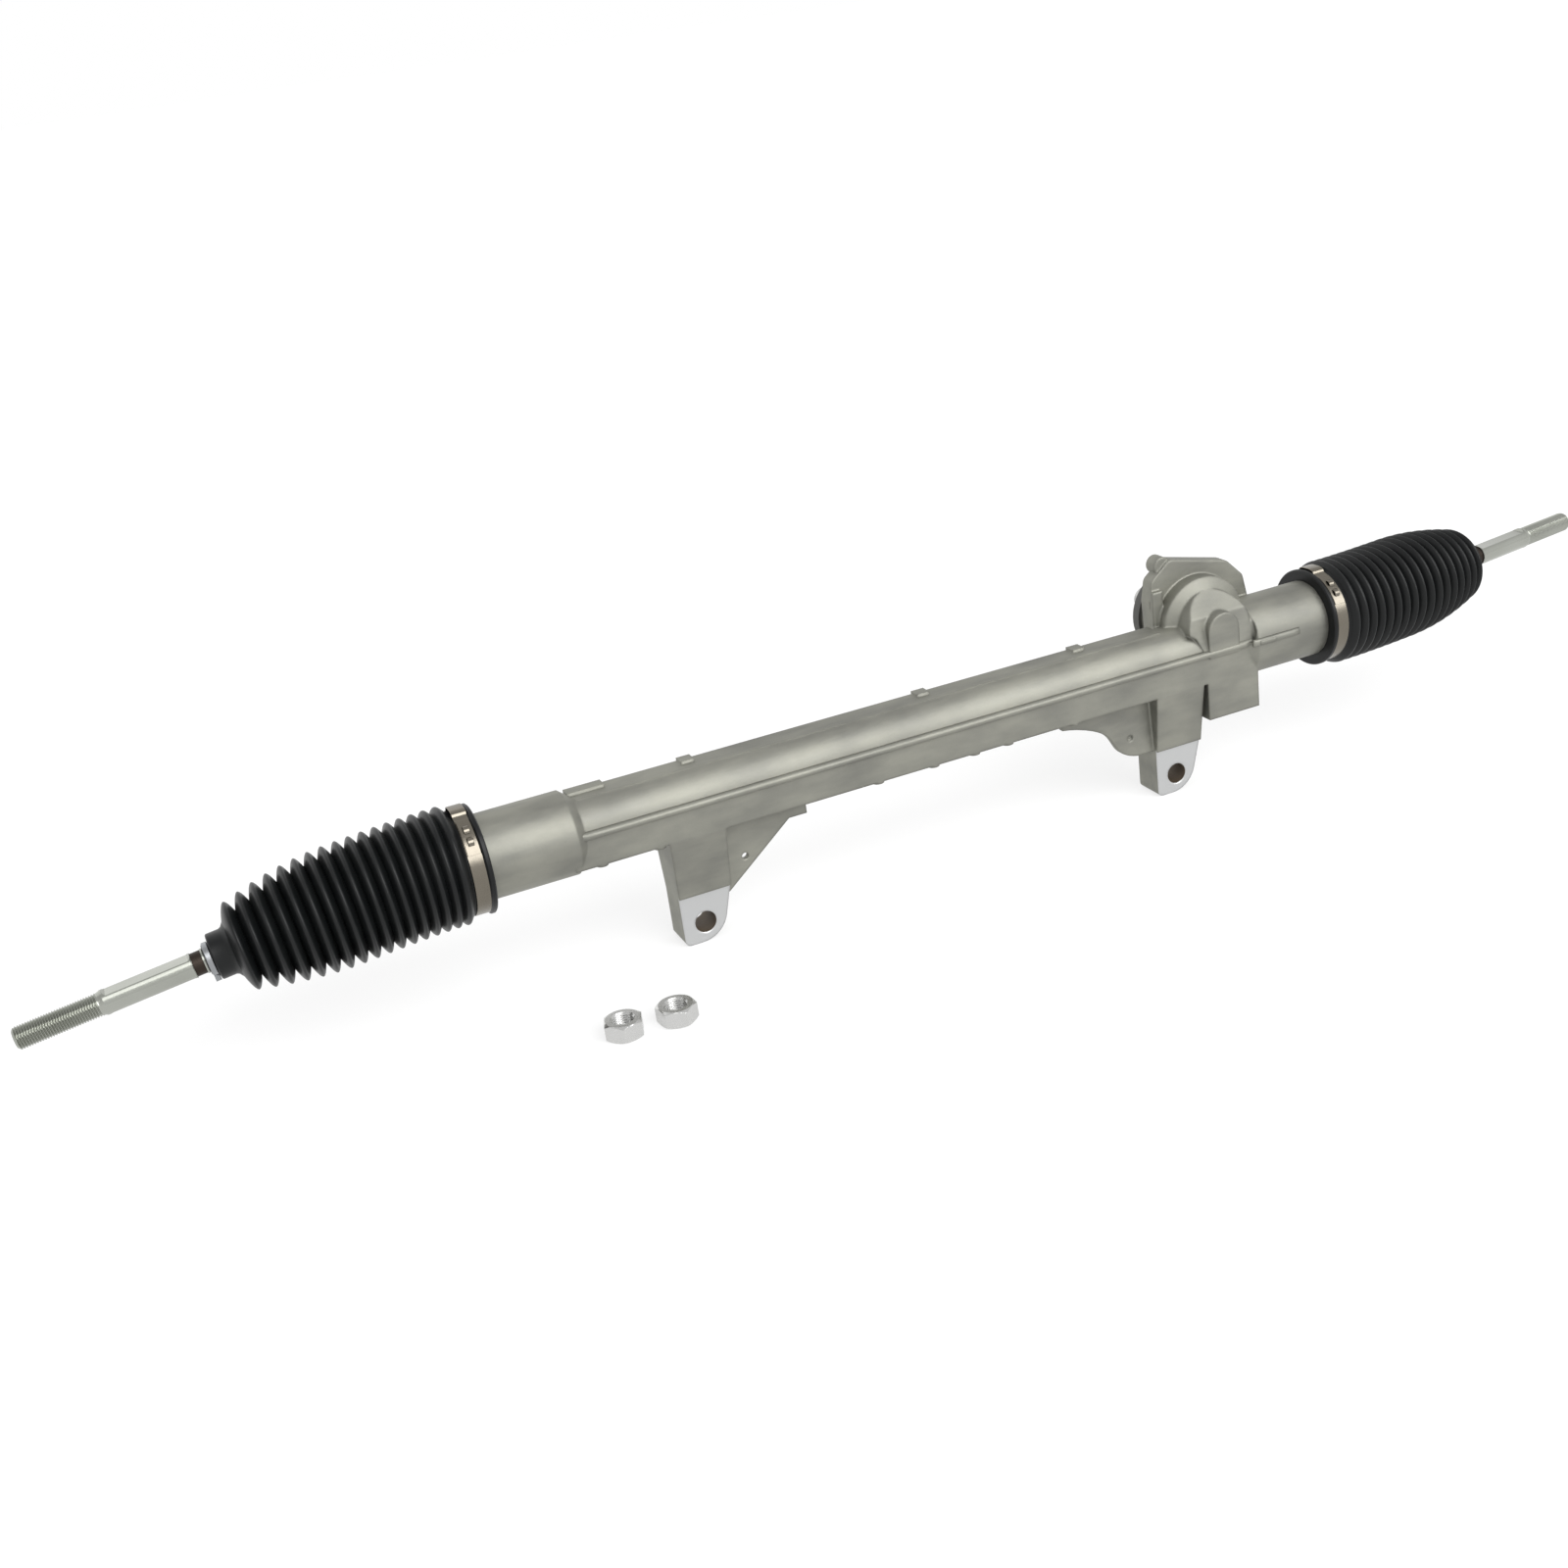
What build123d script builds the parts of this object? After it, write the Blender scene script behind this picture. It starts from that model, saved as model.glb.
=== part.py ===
from build123d import *
import os
from dataclasses import dataclass
from math import acos, cos, degrees, pi, radians, sin, sqrt, tan

# Rack-and-pinion steering gear of a passenger car, in millimetres.
# The origin is midway between the two mounting holes, on the machined faces of the lugs.
# +X runs along the rack, +Y away from the lugs' machined faces, +Z from the holes to the rack.

os.makedirs("parts", exist_ok=True)

along = Vector(1, 0, 0)
back = Vector(0, 1, 0)
up = Vector(0, 0, 1)

# Place of the rack axis, seen from the mounting holes
lug_spacing = 352.0
axis_height = 80.0
axis_setback = 12.5
centre_shift = 4.7

# Clearances and cuts
overrun = 2.0
running_fit = 0.05
seat_gap = 0.1
stop_gap = 2.0

# Rack travel and gear pair
travel = 62.0
pinion_teeth = 8
module = 2.075
pressure_angle = 20.0
helix_angle = 12.0
profile_shift_share = 0.55
tip_height_share = 1.25
rack_tip_share = 1.0
root_clearance_share = 0.2
backlash = 0.12
pinion_place = 217.0

pitch_radius = module * pinion_teeth / 2
tooth_pitch = pi * module
base_radius = pitch_radius * cos(radians(pressure_angle))
pinion_tip_radius = pitch_radius + tip_height_share * module
reference_distance = pitch_radius + profile_shift_share * module
rack_tip_distance = reference_distance - rack_tip_share * module
rack_root_distance = pinion_tip_radius + root_clearance_share * module
pinion_root_radius = rack_tip_distance - root_clearance_share * module
slope = tan(radians(pressure_angle))
helix_slope = tan(radians(helix_angle))

# Rack bar
rack_radius = 13.0
rack_tip_height = 10.6
rack_end_chamfer = 1.5
pinion_height = rack_tip_height + rack_tip_distance

# Inner ball joints and tie rods
ball_place = 355.0
ball_radius = 14.0
seat_wall = 2.4
neck_radius = 6.2
housing_wall = 4.0
housing_inboard = 33.0
housing_taper = 3.0
mouth_angle = 59.0
seat_edge_angle = 56.0
shank_radius = 7.0
shank_length = 20.0
wrench_flat_width = 34.0
wrench_flat_length = 9.0
washer_thickness = 2.0
washer_radius = 17.5
rod_length = 221.5
rod_radius = 7.6
rod_neck_length = 32.0
rod_neck_taper = 8.0
groove_radius = 6.4
ring_groove_start = 113.0
ring_groove_length = 6.0
ring_groove_depth = 0.6
flats_start = 120.0
flats_end = 169.0
flats_width = 11.6
thread_radius = 7.0
thread_relief = 0.35
thread_chamfer = 1.6

seat_outer_radius = ball_radius + running_fit + seat_wall
cavity_radius = seat_outer_radius + running_fit
ball_housing_radius = cavity_radius + housing_wall

# Bellows
bellows_folds = 17
lip_place = 300.0
lip_thickness = 3.5
lip_height = 2.0
cuff_wall = 5.5
cuff_length = 14.5
fold_peak_radius = 36.6
fold_end_radius = 26.0
fold_depth_inboard = 3.0
fold_depth_outboard = 7.8
fold_growth = 0.226
bellows_wall = 1.8
collar_start = 98.0
collar_length = 9.0
collar_radius = 14.0
clip_neck_length = 4.5
clip_neck_wall = 2.6
fold_taper_share = 0.45
cone_share = 0.03

# Band clamps and spring clips
band_width = 9.0
band_thickness = 1.0
band_ear_height = 5.0
band_ear_width = 7.0
clip_width = 3.2
clip_thickness = 1.1
clip_ear_height = 4.5

# Housing
half_length = 314.5
end_radius = 26.5
end_chamfer = 1.5
mid_radius = 21.5
mid_bore = 16.0
left_step = 245.0
right_step = 243.0
step_run = 6.0
wall_drop = 18.0
wall_start = 249.0
rib_height = 3.0
rib_rise = 1.6
rib_proud = 1.6
rib_end = 256.0
rail_width = 15.0
rail_shift = 1.5
rail_height = 21.9
rail_start = 238.0
rail_end = 178.0
tab_height = 1.4
tab_length = 9.0
tab_places_share = (-0.96, -0.68, 0.01, 0.5)
step_tab_length = 24.0
bump_radius = 4.0
bump_proud = 1.3
bump_places_share = (-0.93, -0.78, -0.72, 0.2, 0.4, -0.18, -0.02, 0.1)

# Lugs and webs
lug_radius = 15.3
lug_hole_radius = 7.2
lug_tip_drop = 13.6
lug_lean = 4.5
lug_flare = 3.0
pad_height = 20.3
pad_step = 2.0
lug_back = 10.0
lug_corner = 4.0
lug_sweep = 19.0
web_thickness = 4.0
web_front = 10.0
web_hole_radius = 2.2
web_hole_place = 33.4
web_hole_rise = 34.6
web_dimple_depth = 1.6
web_length = 78.5
web_foot_length = 12.5
web_foot_drop = 11.0
web_tip_rise = 14.0
web_drop = 60.0
web_curve_shares = (
    (0.42, -1.0), (0.57, -0.97), (0.72, -0.87), (0.82, -0.7), (1.08, -0.52), (1.42, -0.43),
)

# Yoke block and what it holds
block_left = 18.5
block_right = 27.5
block_notch_width = 5.5
block_notch_depth = 9.5
block_back = 20.0
block_drop = 44.5
block_corner = 3.0
yoke_bore = 15.0
yoke_top = 5.0
yoke_length = 23.0
liner_thickness = 1.0
yoke_pocket_radius = 8.5
yoke_pocket_depth = 6.0
ring_radius = 1.3
ring_place_share = 0.7
spring_wall = 1.2
spring_inner_radius = 5.0
plug_length = 11.0
socket_width = 14.0
socket_depth = 6.0

# Pinion tower
drum_radius = 24.0
drum_front = 4.0
knee_front = 17.0
knee_rise = 10.0
slope_front = 22.0
drum_waist = 19.5
drum_waist_drop = 3.0
drum_foot = 14.0
drum_foot_drop = 15.0
collar_ring_radius = 31.5
nose_radius = 12.0
nose_front = 23.5
nose_bore = 8.0
nose_wall = 3.6
flange_front = 10.0
flange_back = 20.0
neck_outer_radius = 29.0
neck_end = 37.0
flange_corner = 6.0
flange_shares = (
    (-0.57, 1.46), (0.87, 1.11), (1.27, 0.7), (1.38, 0.19),
    (1.27, -0.5), (-1.08, -0.5), (-1.13, 0.63), (-1.05, 1.08),
)
flange_pad_shares = ((-1.12, 0.0), (-0.86, 0.0), (-0.86, 0.86), (-1.12, 0.86))
ear_radius = 6.3
ear_side = 22.7
ear_rise = 42.1
ear_front = 12.0
ear_back = 22.0
ear_hole_radius = 2.6
flange_pad_step = 3.5
cavity_wall = 0.8
cavity_front = 9.6
cavity_back = 14.0

# Pinion shaft, bearing, seal and nut
pinion_front = 8.6
pinion_back = 12.0
tail_radius = 5.0
tail_end = 19.0
shoulder_radius = 10.4
bearing_bore = 8.5
bearing_radius = 20.0
bearing_width = 12.0
inner_race_radius = 11.6
outer_race_radius = 16.9
bearing_ball_radius = 3.2
bearing_balls = 9
snap_width = 1.2
snap_height = 1.8
nut_length = 9.0
nut_bore = 14.0
nut_slot_width = 5.0
nut_slot_depth = 2.5
nut_slots = 6
seal_width = 7.0
seal_rim = 1.2
cap_wall = 2.0
cap_length = 9.0
cap_overlap = 5.0
input_end = 74.0
spline_radius = 8.0
spline_length = 24.0
pinch_groove_radius = 6.8
pinch_groove_width = 7.0
needle_length = 9.0
bush_length = 25.0
bush_slot_width = 2.0
bush_slots = 3

# Loose jam nuts
nut_width = 22.0
nut_height = 11.0
nut_hole_radius = 6.3
nut_chamfer_radius = 10.4
nut_chamfer_angle = 30.0
nut_places = ((-255.3, -91.0), (-223.3, -94.1))
nut_turns = (12.0, 40.0)

# Frames that the pieces are drawn on
centre = back * axis_setback + up * axis_height - along * centre_shift
front = Plane(origin=centre, x_dir=along, z_dir=-back)
across = Plane(origin=centre, x_dir=back, z_dir=along)
rack_line = Axis(centre, along)
pinion_centre = centre + along * pinion_place + up * pinion_height
pinion_plane = Plane(origin=pinion_centre, x_dir=back, z_dir=along)
pinion_face = Plane(origin=pinion_centre, x_dir=along, z_dir=-back)
pinion_line = Axis(pinion_centre, back)
yoke_centre = centre + along * pinion_place
yoke_plane = Plane(origin=yoke_centre, x_dir=along, z_dir=-back)
yoke_floor = Plane(origin=yoke_centre, x_dir=along, z_dir=up)
yoke_line = Axis(yoke_centre, up)


@dataclass(frozen=True)
class Side:
    """One end of the rack: its sign along X and the tie rod's tilt at rest."""

    name: str
    sign: int
    pitch: float
    yaw: float

    @property
    def ball_centre(self):
        return centre + along * (self.sign * ball_place)

    @property
    def outward(self):
        return along * self.sign

    @property
    def seat_direction(self):
        tilt = radians(self.pitch)
        return self.outward * cos(tilt) + up * sin(tilt)

    @property
    def rod_direction(self):
        turn_angle = radians(self.yaw)
        return self.seat_direction * cos(turn_angle) + back * sin(turn_angle)

    def plane(self, direction):
        return Plane(origin=self.ball_centre, x_dir=direction, z_dir=direction.cross(up))

    def line(self, direction):
        return Axis(self.ball_centre, direction)


sides = (Side("left", -1, -7.4, 0.9), Side("right", 1, -0.3, 10.6))


def turn(plane, axis, *points, mode=Mode.ADD):
    """Add or cut the round form whose half section runs through the points."""
    with BuildSketch(plane) as half_section:
        Polygon(*points, align=None)
    revolve(half_section.sketch, axis=axis, mode=mode)


def on_circle(radius, angle):
    """Point of a circle round the sketch's origin."""
    return (radius * cos(angle), radius * sin(angle))


def slab(plane, *points, depth, mode=Mode.ADD):
    """Add or cut the straight form whose outline runs through the points."""
    with BuildSketch(plane) as outline:
        Polygon(*points, align=None)
    extrude(outline.sketch, amount=depth, mode=mode)


def disc(plane, radius, depth, mode=Mode.ADD, at=(0, 0)):
    """Add or cut a round bar that starts on the plane."""
    with BuildSketch(plane) as outline:
        with Locations(at):
            Circle(radius)
    extrude(outline.sketch, amount=depth, mode=mode)


# Housing: round ends and mid-section with side walls, rib and top rail
end_bore = ball_housing_radius + housing_wall / 2
bore_end = ball_place - housing_inboard - washer_thickness - travel - stop_gap
lug_places = tuple(sign * lug_spacing / 2 + centre_shift for sign in (-1, 1))


def add_tube():
    """The closed outer form of the tube, with its steps to the round ends."""
    turn(
        front, rack_line,
        (-half_length, 0), (-half_length, end_radius - end_chamfer),
        (-half_length + end_chamfer, end_radius), (-left_step, end_radius),
        (-left_step + step_run, mid_radius), (right_step - step_run, mid_radius),
        (right_step, end_radius), (half_length - end_chamfer, end_radius),
        (half_length, end_radius - end_chamfer), (half_length, 0),
    )


def add_walls():
    """Flat side walls under the tube, with the parting rib above them and the top rail."""
    slab(
        across.offset(-wall_start),
        (-mid_radius, -wall_drop), (mid_radius, -wall_drop), (mid_radius, 0), (-mid_radius, 0),
        depth=wall_start + right_step,
    )
    rib_face = mid_radius + rib_proud
    slab(
        across.offset(-wall_start),
        (-rib_face, rib_rise), (-rib_face, rib_rise + rib_height / 2),
        (-mid_bore, rib_rise + rib_height), (-mid_bore, rib_rise),
        depth=wall_start + right_step,
    )
    end_rib_face = end_radius + rib_proud
    slab(
        across.offset(right_step),
        (-end_rib_face, rib_rise), (-end_rib_face, rib_rise + rib_height),
        (-end_bore - housing_wall / 2, rib_rise + rib_height), (-end_bore - housing_wall / 2, rib_rise),
        depth=rib_end - right_step,
    )
    rail_front = rail_shift - rail_width / 2
    rail_back = rail_shift + rail_width / 2
    slab(
        across.offset(-rail_start),
        (rail_front, mid_bore), (rail_back, mid_bore),
        (rail_back, rail_height), (rail_front, rail_height - tab_height / 2),
        depth=rail_start + rail_end,
    )
    for share in tab_places_share:
        length = step_tab_length if share == tab_places_share[0] else tab_length
        slab(
            across.offset(share * rail_start - length / 2),
            (rail_shift, mid_bore), (rail_back + tab_height, mid_bore),
            (rail_back + tab_height, rail_height + tab_height), (rail_shift, rail_height + tab_height),
            depth=length,
        )
    for share in bump_places_share:
        for face in (-1, 1):
            bump = Plane(origin=centre + along * (share * wall_start) - up * wall_drop
                         + back * (face * (mid_radius - bump_radius)), x_dir=along, z_dir=-up)
            disc(bump.offset(-bump_radius), bump_radius, bump_radius + bump_proud)


def lug_outline(place):
    """Face outline of one lug: rounded tip, one upright side and one that leans out."""
    tip = -axis_height - lug_tip_drop
    pad_top = -axis_height + pad_height
    left = place - lug_radius
    right = place + lug_radius
    with BuildSketch(front.offset(-lug_back)) as outline:
        Polygon(
            (left - lug_flare, 0), (left, pad_top), (left, tip), (right - lug_lean, tip),
            (right + lug_lean, pad_top), (right + lug_lean, 0), align=None,
        )
        tip_corners = outline.vertices().group_by(Axis.Y)[0].sort_by(Axis.X)
        fillet(tip_corners[0], radius=lug_corner)
        fillet(outline.vertices().group_by(Axis.Y)[0].sort_by(Axis.X)[-1], radius=lug_sweep)
    return outline.sketch


def add_lug(place):
    """One mounting lug, its front leaning back to the machined pad round the hole."""
    extrude(lug_outline(place), amount=lug_back + mid_radius)
    pad_top = -axis_height + pad_height
    reach = 2 * lug_radius + lug_lean
    lug_side = across.offset(place - reach / 2 - lug_flare)
    slab(
        lug_side,
        (-axis_setback, -axis_height - 2 * lug_radius), (-axis_setback, pad_top),
        (-axis_setback - pad_step, pad_top), (-mid_radius, -wall_drop),
        (-mid_radius - overrun, -wall_drop), (-mid_radius - overrun, -axis_height - 2 * lug_radius),
        depth=reach + 2 * lug_flare, mode=Mode.SUBTRACT,
    )


def add_web(place):
    """Triangular web between the left lug and the side wall, on the lug's inner side."""
    foot = -wall_drop - web_foot_drop
    slab(
        front.offset(web_front - web_thickness),
        (place, 0), (place, -axis_height + web_tip_rise),
        (place + lug_radius + lug_lean, -axis_height + web_tip_rise),
        (place + web_length - web_foot_length, foot),
        (place + web_length, foot), (place + web_length, 0),
        depth=web_thickness,
    )


def add_swept_web(place):
    """Web on the right lug's inner side, its lower edge swept down to the lug."""
    points = [(place - reach, drop) for reach, drop in shares_of(web_drop, web_curve_shares)]
    with BuildSketch(front.offset(web_front - web_thickness)) as outline:
        with BuildLine():
            edge = Spline(*points)
            Polyline(edge @ 1, (points[-1][0], 0), (place, 0), (place, -web_drop), edge @ 0)
        make_face()
    extrude(outline.sketch, amount=web_thickness)


def add_yoke_block():
    """Square boss under the tube that holds the yoke."""
    notch_side = block_notch_width - block_left
    with BuildSketch(yoke_floor.offset(-block_drop)) as outline:
        Polygon(
            (-block_left, block_back), (-block_left, block_notch_depth - mid_radius),
            (notch_side, block_notch_depth - mid_radius), (notch_side, -mid_radius),
            (block_right, -mid_radius), (block_right, block_back), align=None,
        )
        fillet(outline.vertices().group_by(Axis.Y)[-1], radius=block_corner)
    extrude(outline.sketch, amount=block_drop + rib_rise)


def shares_of(size, shares):
    """Outline points given as shares of one size."""
    return [(size * across_share, size * up_share) for across_share, up_share in shares]


def add_drum():
    """Front of the tower: round top, left side drawn in below, face broken at a knee."""
    with BuildSketch(pinion_face.offset(-flange_back)) as outline:
        with BuildLine():
            top = ThreePointArc((-drum_radius, 0), (0, drum_radius), (drum_radius, 0))
            Polyline(
                top @ 1, (drum_radius, -pinion_height), (-drum_foot, -pinion_height),
                (-drum_foot, -drum_foot_drop), (-drum_waist, -drum_waist_drop), top @ 0,
            )
        make_face()
    extrude(outline.sketch, amount=flange_back + slope_front)
    slab(
        pinion_plane.offset(-drum_radius - overrun),
        (-drum_front, drum_radius + overrun), (-drum_front, drum_radius), (-knee_front, knee_rise),
        (-slope_front, -drum_foot_drop), (-slope_front - overrun, -drum_foot_drop),
        (-slope_front - overrun, drum_radius + overrun),
        depth=2 * (drum_radius + overrun), mode=Mode.SUBTRACT,
    )


def tombstone(plane, half_width, foot, depth):
    """Upright form with a round top, centred on the pinion."""
    with BuildSketch(plane) as outline:
        with BuildLine():
            left = Line((-half_width, foot), (-half_width, 0))
            top = ThreePointArc(left @ 1, (0, half_width), (half_width, 0))
            right = Line(top @ 1, (half_width, foot))
            Line(right @ 1, left @ 0)
        make_face()
    extrude(outline.sketch, amount=depth)


def add_tower():
    """Pinion tower: drum, nose, stepped collar, flange, neck and ear."""
    add_drum()
    tombstone(pinion_face, nose_radius, -pinion_height, nose_front)
    turn(
        pinion_plane, pinion_line,
        (-drum_front, 0), (-drum_front, drum_radius), (0, collar_ring_radius),
        (flange_back, collar_ring_radius), (flange_back, 0),
    )
    with BuildSketch(pinion_face.offset(-flange_back)) as flange:
        Polygon(*shares_of(collar_ring_radius, flange_shares), align=None)
        fillet(flange.vertices(), radius=flange_corner)
    extrude(flange.sketch, amount=flange_back - flange_front)
    slab(
        pinion_face.offset(-flange_front), *shares_of(collar_ring_radius, flange_pad_shares),
        depth=flange_pad_step,
    )
    disc(pinion_face.offset(-neck_end), neck_outer_radius, neck_end - flange_back)
    disc(pinion_face.offset(-ear_back), ear_radius, ear_back - ear_front, at=(-ear_side, ear_rise))


def cut_bores():
    """Everything that is machined inside the housing."""
    disc(across.offset(-half_length - overrun), mid_bore, 2 * (half_length + overrun), mode=Mode.SUBTRACT)
    disc(across.offset(-half_length - overrun), end_bore, half_length + overrun - bore_end, mode=Mode.SUBTRACT)
    disc(across.offset(bore_end), end_bore, half_length + overrun - bore_end, mode=Mode.SUBTRACT)
    cavity = pinion_tip_radius + cavity_wall
    nose_floor = nose_front - nose_wall
    turn(
        pinion_plane, pinion_line,
        (-nose_floor, 0), (-nose_floor, nose_bore), (-cavity_front, nose_bore), (-cavity_front, cavity),
        (cavity_back, cavity), (cavity_back, bearing_radius), (neck_end + overrun, bearing_radius),
        (neck_end + overrun, 0),
        mode=Mode.SUBTRACT,
    )
    disc(yoke_floor.offset(-block_drop - overrun), yoke_bore, block_drop + overrun, mode=Mode.SUBTRACT)
    for place in lug_places:
        disc(
            front.offset(-lug_back - overrun), lug_hole_radius, lug_back + mid_radius + 2 * overrun,
            mode=Mode.SUBTRACT, at=(place, -axis_height),
        )
    web_hole_height = web_hole_rise - axis_height
    disc(
        front.offset(web_front - web_thickness - overrun), web_hole_radius, web_thickness + 2 * overrun,
        mode=Mode.SUBTRACT, at=(lug_places[0] + web_hole_place, web_hole_height),
    )
    disc(
        front.offset(web_front - web_dimple_depth), web_hole_radius, web_dimple_depth + overrun,
        mode=Mode.SUBTRACT, at=(lug_places[1] - web_hole_place, web_hole_height),
    )
    disc(
        pinion_face.offset(-ear_back - overrun), ear_hole_radius, ear_back - ear_front,
        mode=Mode.SUBTRACT, at=(-ear_side, ear_rise),
    )


with BuildPart() as rack_housing:
    add_tube()
    add_walls()
    for lug_place in lug_places:
        add_lug(lug_place)
    add_web(lug_places[0])
    add_swept_web(lug_places[1])
    add_yoke_block()
    add_tower()
    cut_bores()
rack_housing.part.label = "rack_housing"
export_step(rack_housing.part, "parts/rack_housing.step")


# Rack bar with slanted teeth on its top side
rack_half_length = ball_place - housing_inboard - washer_thickness
toothed_half_length = travel + pinion_tip_radius + helix_slope * rack_radius + tooth_pitch
gaps_each_way = int(toothed_half_length / tooth_pitch - 1 / 2)


def add_rack_gap(place):
    """Cut one tooth gap, a trapezoid swept along the slanted tooth line."""
    rise = pinion_height - rack_tip_distance
    depth = rack_root_distance - rack_tip_distance
    above = reference_distance - rack_tip_distance
    half_root = tooth_pitch / 4 - (depth - above) * slope
    half_mouth = tooth_pitch / 4 + (above + overrun) * slope
    shift = helix_slope * rack_radius
    with BuildSketch(front.offset(rack_radius)) as gap:
        Polygon(
            (place - half_root - shift, rise - depth), (place + half_root - shift, rise - depth),
            (place + half_mouth - shift, rise + overrun), (place - half_mouth - shift, rise + overrun),
            align=None,
        )
    extrude(gap.sketch, amount=2 * rack_radius / cos(radians(helix_angle)),
            dir=back + along * helix_slope, mode=Mode.SUBTRACT)


with BuildPart() as rack_bar:
    turn(
        front, rack_line,
        (-rack_half_length, 0), (-rack_half_length, rack_radius - rack_end_chamfer),
        (-rack_half_length + rack_end_chamfer, rack_radius),
        (rack_half_length - rack_end_chamfer, rack_radius),
        (rack_half_length, rack_radius - rack_end_chamfer), (rack_half_length, 0),
    )
    slab(
        across.offset(pinion_place - toothed_half_length),
        (-rack_radius, rack_tip_height), (rack_radius, rack_tip_height),
        (rack_radius, rack_radius + overrun), (-rack_radius, rack_radius + overrun),
        depth=2 * toothed_half_length, mode=Mode.SUBTRACT,
    )
    for count in range(-gaps_each_way, gaps_each_way + 1):
        add_rack_gap(pinion_place + count * tooth_pitch)
    for side in sides:
        mouth = Plane(origin=centre + side.outward * (rack_half_length + overrun), z_dir=-side.outward)
        disc(mouth, shank_radius, shank_length + 2 * overrun, mode=Mode.SUBTRACT)
rack_bar.part.label = "rack_bar"
export_step(rack_bar.part, "parts/rack_bar.step")


# Rack bush at the left end of the narrow bore
with BuildPart() as rack_bush:
    disc(across.offset(-bore_end), mid_bore, bush_length)
    disc(across.offset(-bore_end - overrun), rack_radius + running_fit, bush_length + 2 * overrun,
         mode=Mode.SUBTRACT)
    with BuildSketch(across.offset(-bore_end - overrun)) as slots:
        with PolarLocations((rack_radius + mid_bore) / 2 + overrun, bush_slots):
            Rectangle(mid_bore - rack_radius + overrun, bush_slot_width)
    extrude(slots.sketch, amount=bush_length / 2 + overrun, mode=Mode.SUBTRACT)
rack_bush.part.label = "rack_bush"
export_step(rack_bush.part, "parts/rack_bush.step")


# Pinion shaft with helical involute teeth
def involute(angle):
    return tan(angle) - angle


def flank_point(radius, side_sign):
    """Point of the tooth flank at a radius, for a tooth that points along -Y of the sketch."""
    half_thickness = (tooth_pitch / 2 + 2 * profile_shift_share * module * slope - backlash) / 2
    half_angle = half_thickness / pitch_radius + involute(radians(pressure_angle))
    if radius > base_radius:
        half_angle -= involute(acos(base_radius / radius))
    return Vector(side_sign * radius * sin(half_angle), -radius * cos(half_angle))


def tooth_section(plane):
    """Cross-section of the toothed length: root circle and one involute tooth after another."""
    flank_steps_share = (0.0, 0.33, 0.67, 1.0)
    radii = [base_radius + share * (pinion_tip_radius - base_radius) for share in flank_steps_share]
    with BuildSketch(plane) as section:
        Circle(pinion_root_radius)
        with PolarLocations(0, pinion_teeth):
            with BuildSketch(Plane.XY, mode=Mode.PRIVATE) as tooth:
                with BuildLine():
                    root = pinion_root_radius / 2
                    rise_side = Line(flank_point(root, -1), flank_point(base_radius, -1))
                    left = Spline(*[flank_point(radius, -1) for radius in radii])
                    tip = ThreePointArc(left @ 1, (0, -pinion_tip_radius), flank_point(pinion_tip_radius, 1))
                    right = Spline(*[flank_point(radius, 1) for radius in reversed(radii)])
                    fall_side = Line(right @ 1, flank_point(root, 1))
                    Line(fall_side @ 1, rise_side @ 0)
                make_face()
            add(tooth.sketch)
    return section.sketch.face()


toothed_length = pinion_front + pinion_back
helix_turn = toothed_length * helix_slope / pitch_radius
front_turn = pinion_front * helix_slope / pitch_radius
bearing_end = cavity_back + bearing_width

with BuildPart() as pinion_shaft:
    front_end = pinion_centre - back * pinion_front
    tooth_plane = Plane(origin=front_end, x_dir=along * cos(front_turn) - up * sin(front_turn), z_dir=-back)
    add(Solid.extrude_linear_with_rotation(
        tooth_section(tooth_plane), front_end, back * toothed_length, -degrees(helix_turn)))
    turn(
        pinion_plane, pinion_line,
        (-tail_end, 0), (-tail_end, tail_radius), (-pinion_front, tail_radius), (-pinion_front, 0),
    )
    turn(
        pinion_plane, pinion_line,
        (pinion_back, 0), (pinion_back, shoulder_radius), (cavity_back, shoulder_radius),
        (cavity_back, bearing_bore), (bearing_end, bearing_bore),
        (bearing_end, bearing_bore - snap_height / 2), (bearing_end + snap_width, bearing_bore - snap_height / 2),
        (bearing_end + snap_width, bearing_bore), (input_end - spline_length - pinch_groove_width, bearing_bore),
        (input_end - spline_length - pinch_groove_width / 2, spline_radius),
        (input_end - rack_end_chamfer, spline_radius), (input_end, spline_radius - rack_end_chamfer),
        (input_end, 0),
    )
    turn(
        pinion_plane, pinion_line,
        (input_end - spline_length / 2 - pinch_groove_width / 2, pinch_groove_radius),
        (input_end - spline_length / 2 - pinch_groove_width / 2, spline_radius + overrun),
        (input_end - spline_length / 2 + pinch_groove_width / 2, spline_radius + overrun),
        (input_end - spline_length / 2 + pinch_groove_width / 2, pinch_groove_radius),
        mode=Mode.SUBTRACT,
    )
pinion_shaft.part.label = "pinion_shaft"
export_step(pinion_shaft.part, "parts/pinion_shaft.step")


# Needle bush in the nose
with BuildPart() as needle_bush:
    needle_start = nose_front - nose_wall - stop_gap / 2
    turn(
        pinion_plane, pinion_line,
        (-needle_start, tail_radius + running_fit), (-needle_start, nose_bore),
        (-needle_start + needle_length, nose_bore), (-needle_start + needle_length, tail_radius + running_fit),
    )
needle_bush.part.label = "needle_bush"
export_step(needle_bush.part, "parts/needle_bush.step")

# Ball bearing: two races with ball grooves, and the balls in their cage
ball_circle = (inner_race_radius + outer_race_radius) / 2
bearing_mid = cavity_back + bearing_width / 2


def ring_between(inner, outer):
    turn(
        pinion_plane, pinion_line,
        (cavity_back, inner), (cavity_back, outer), (bearing_end, outer), (bearing_end, inner),
    )


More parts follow.
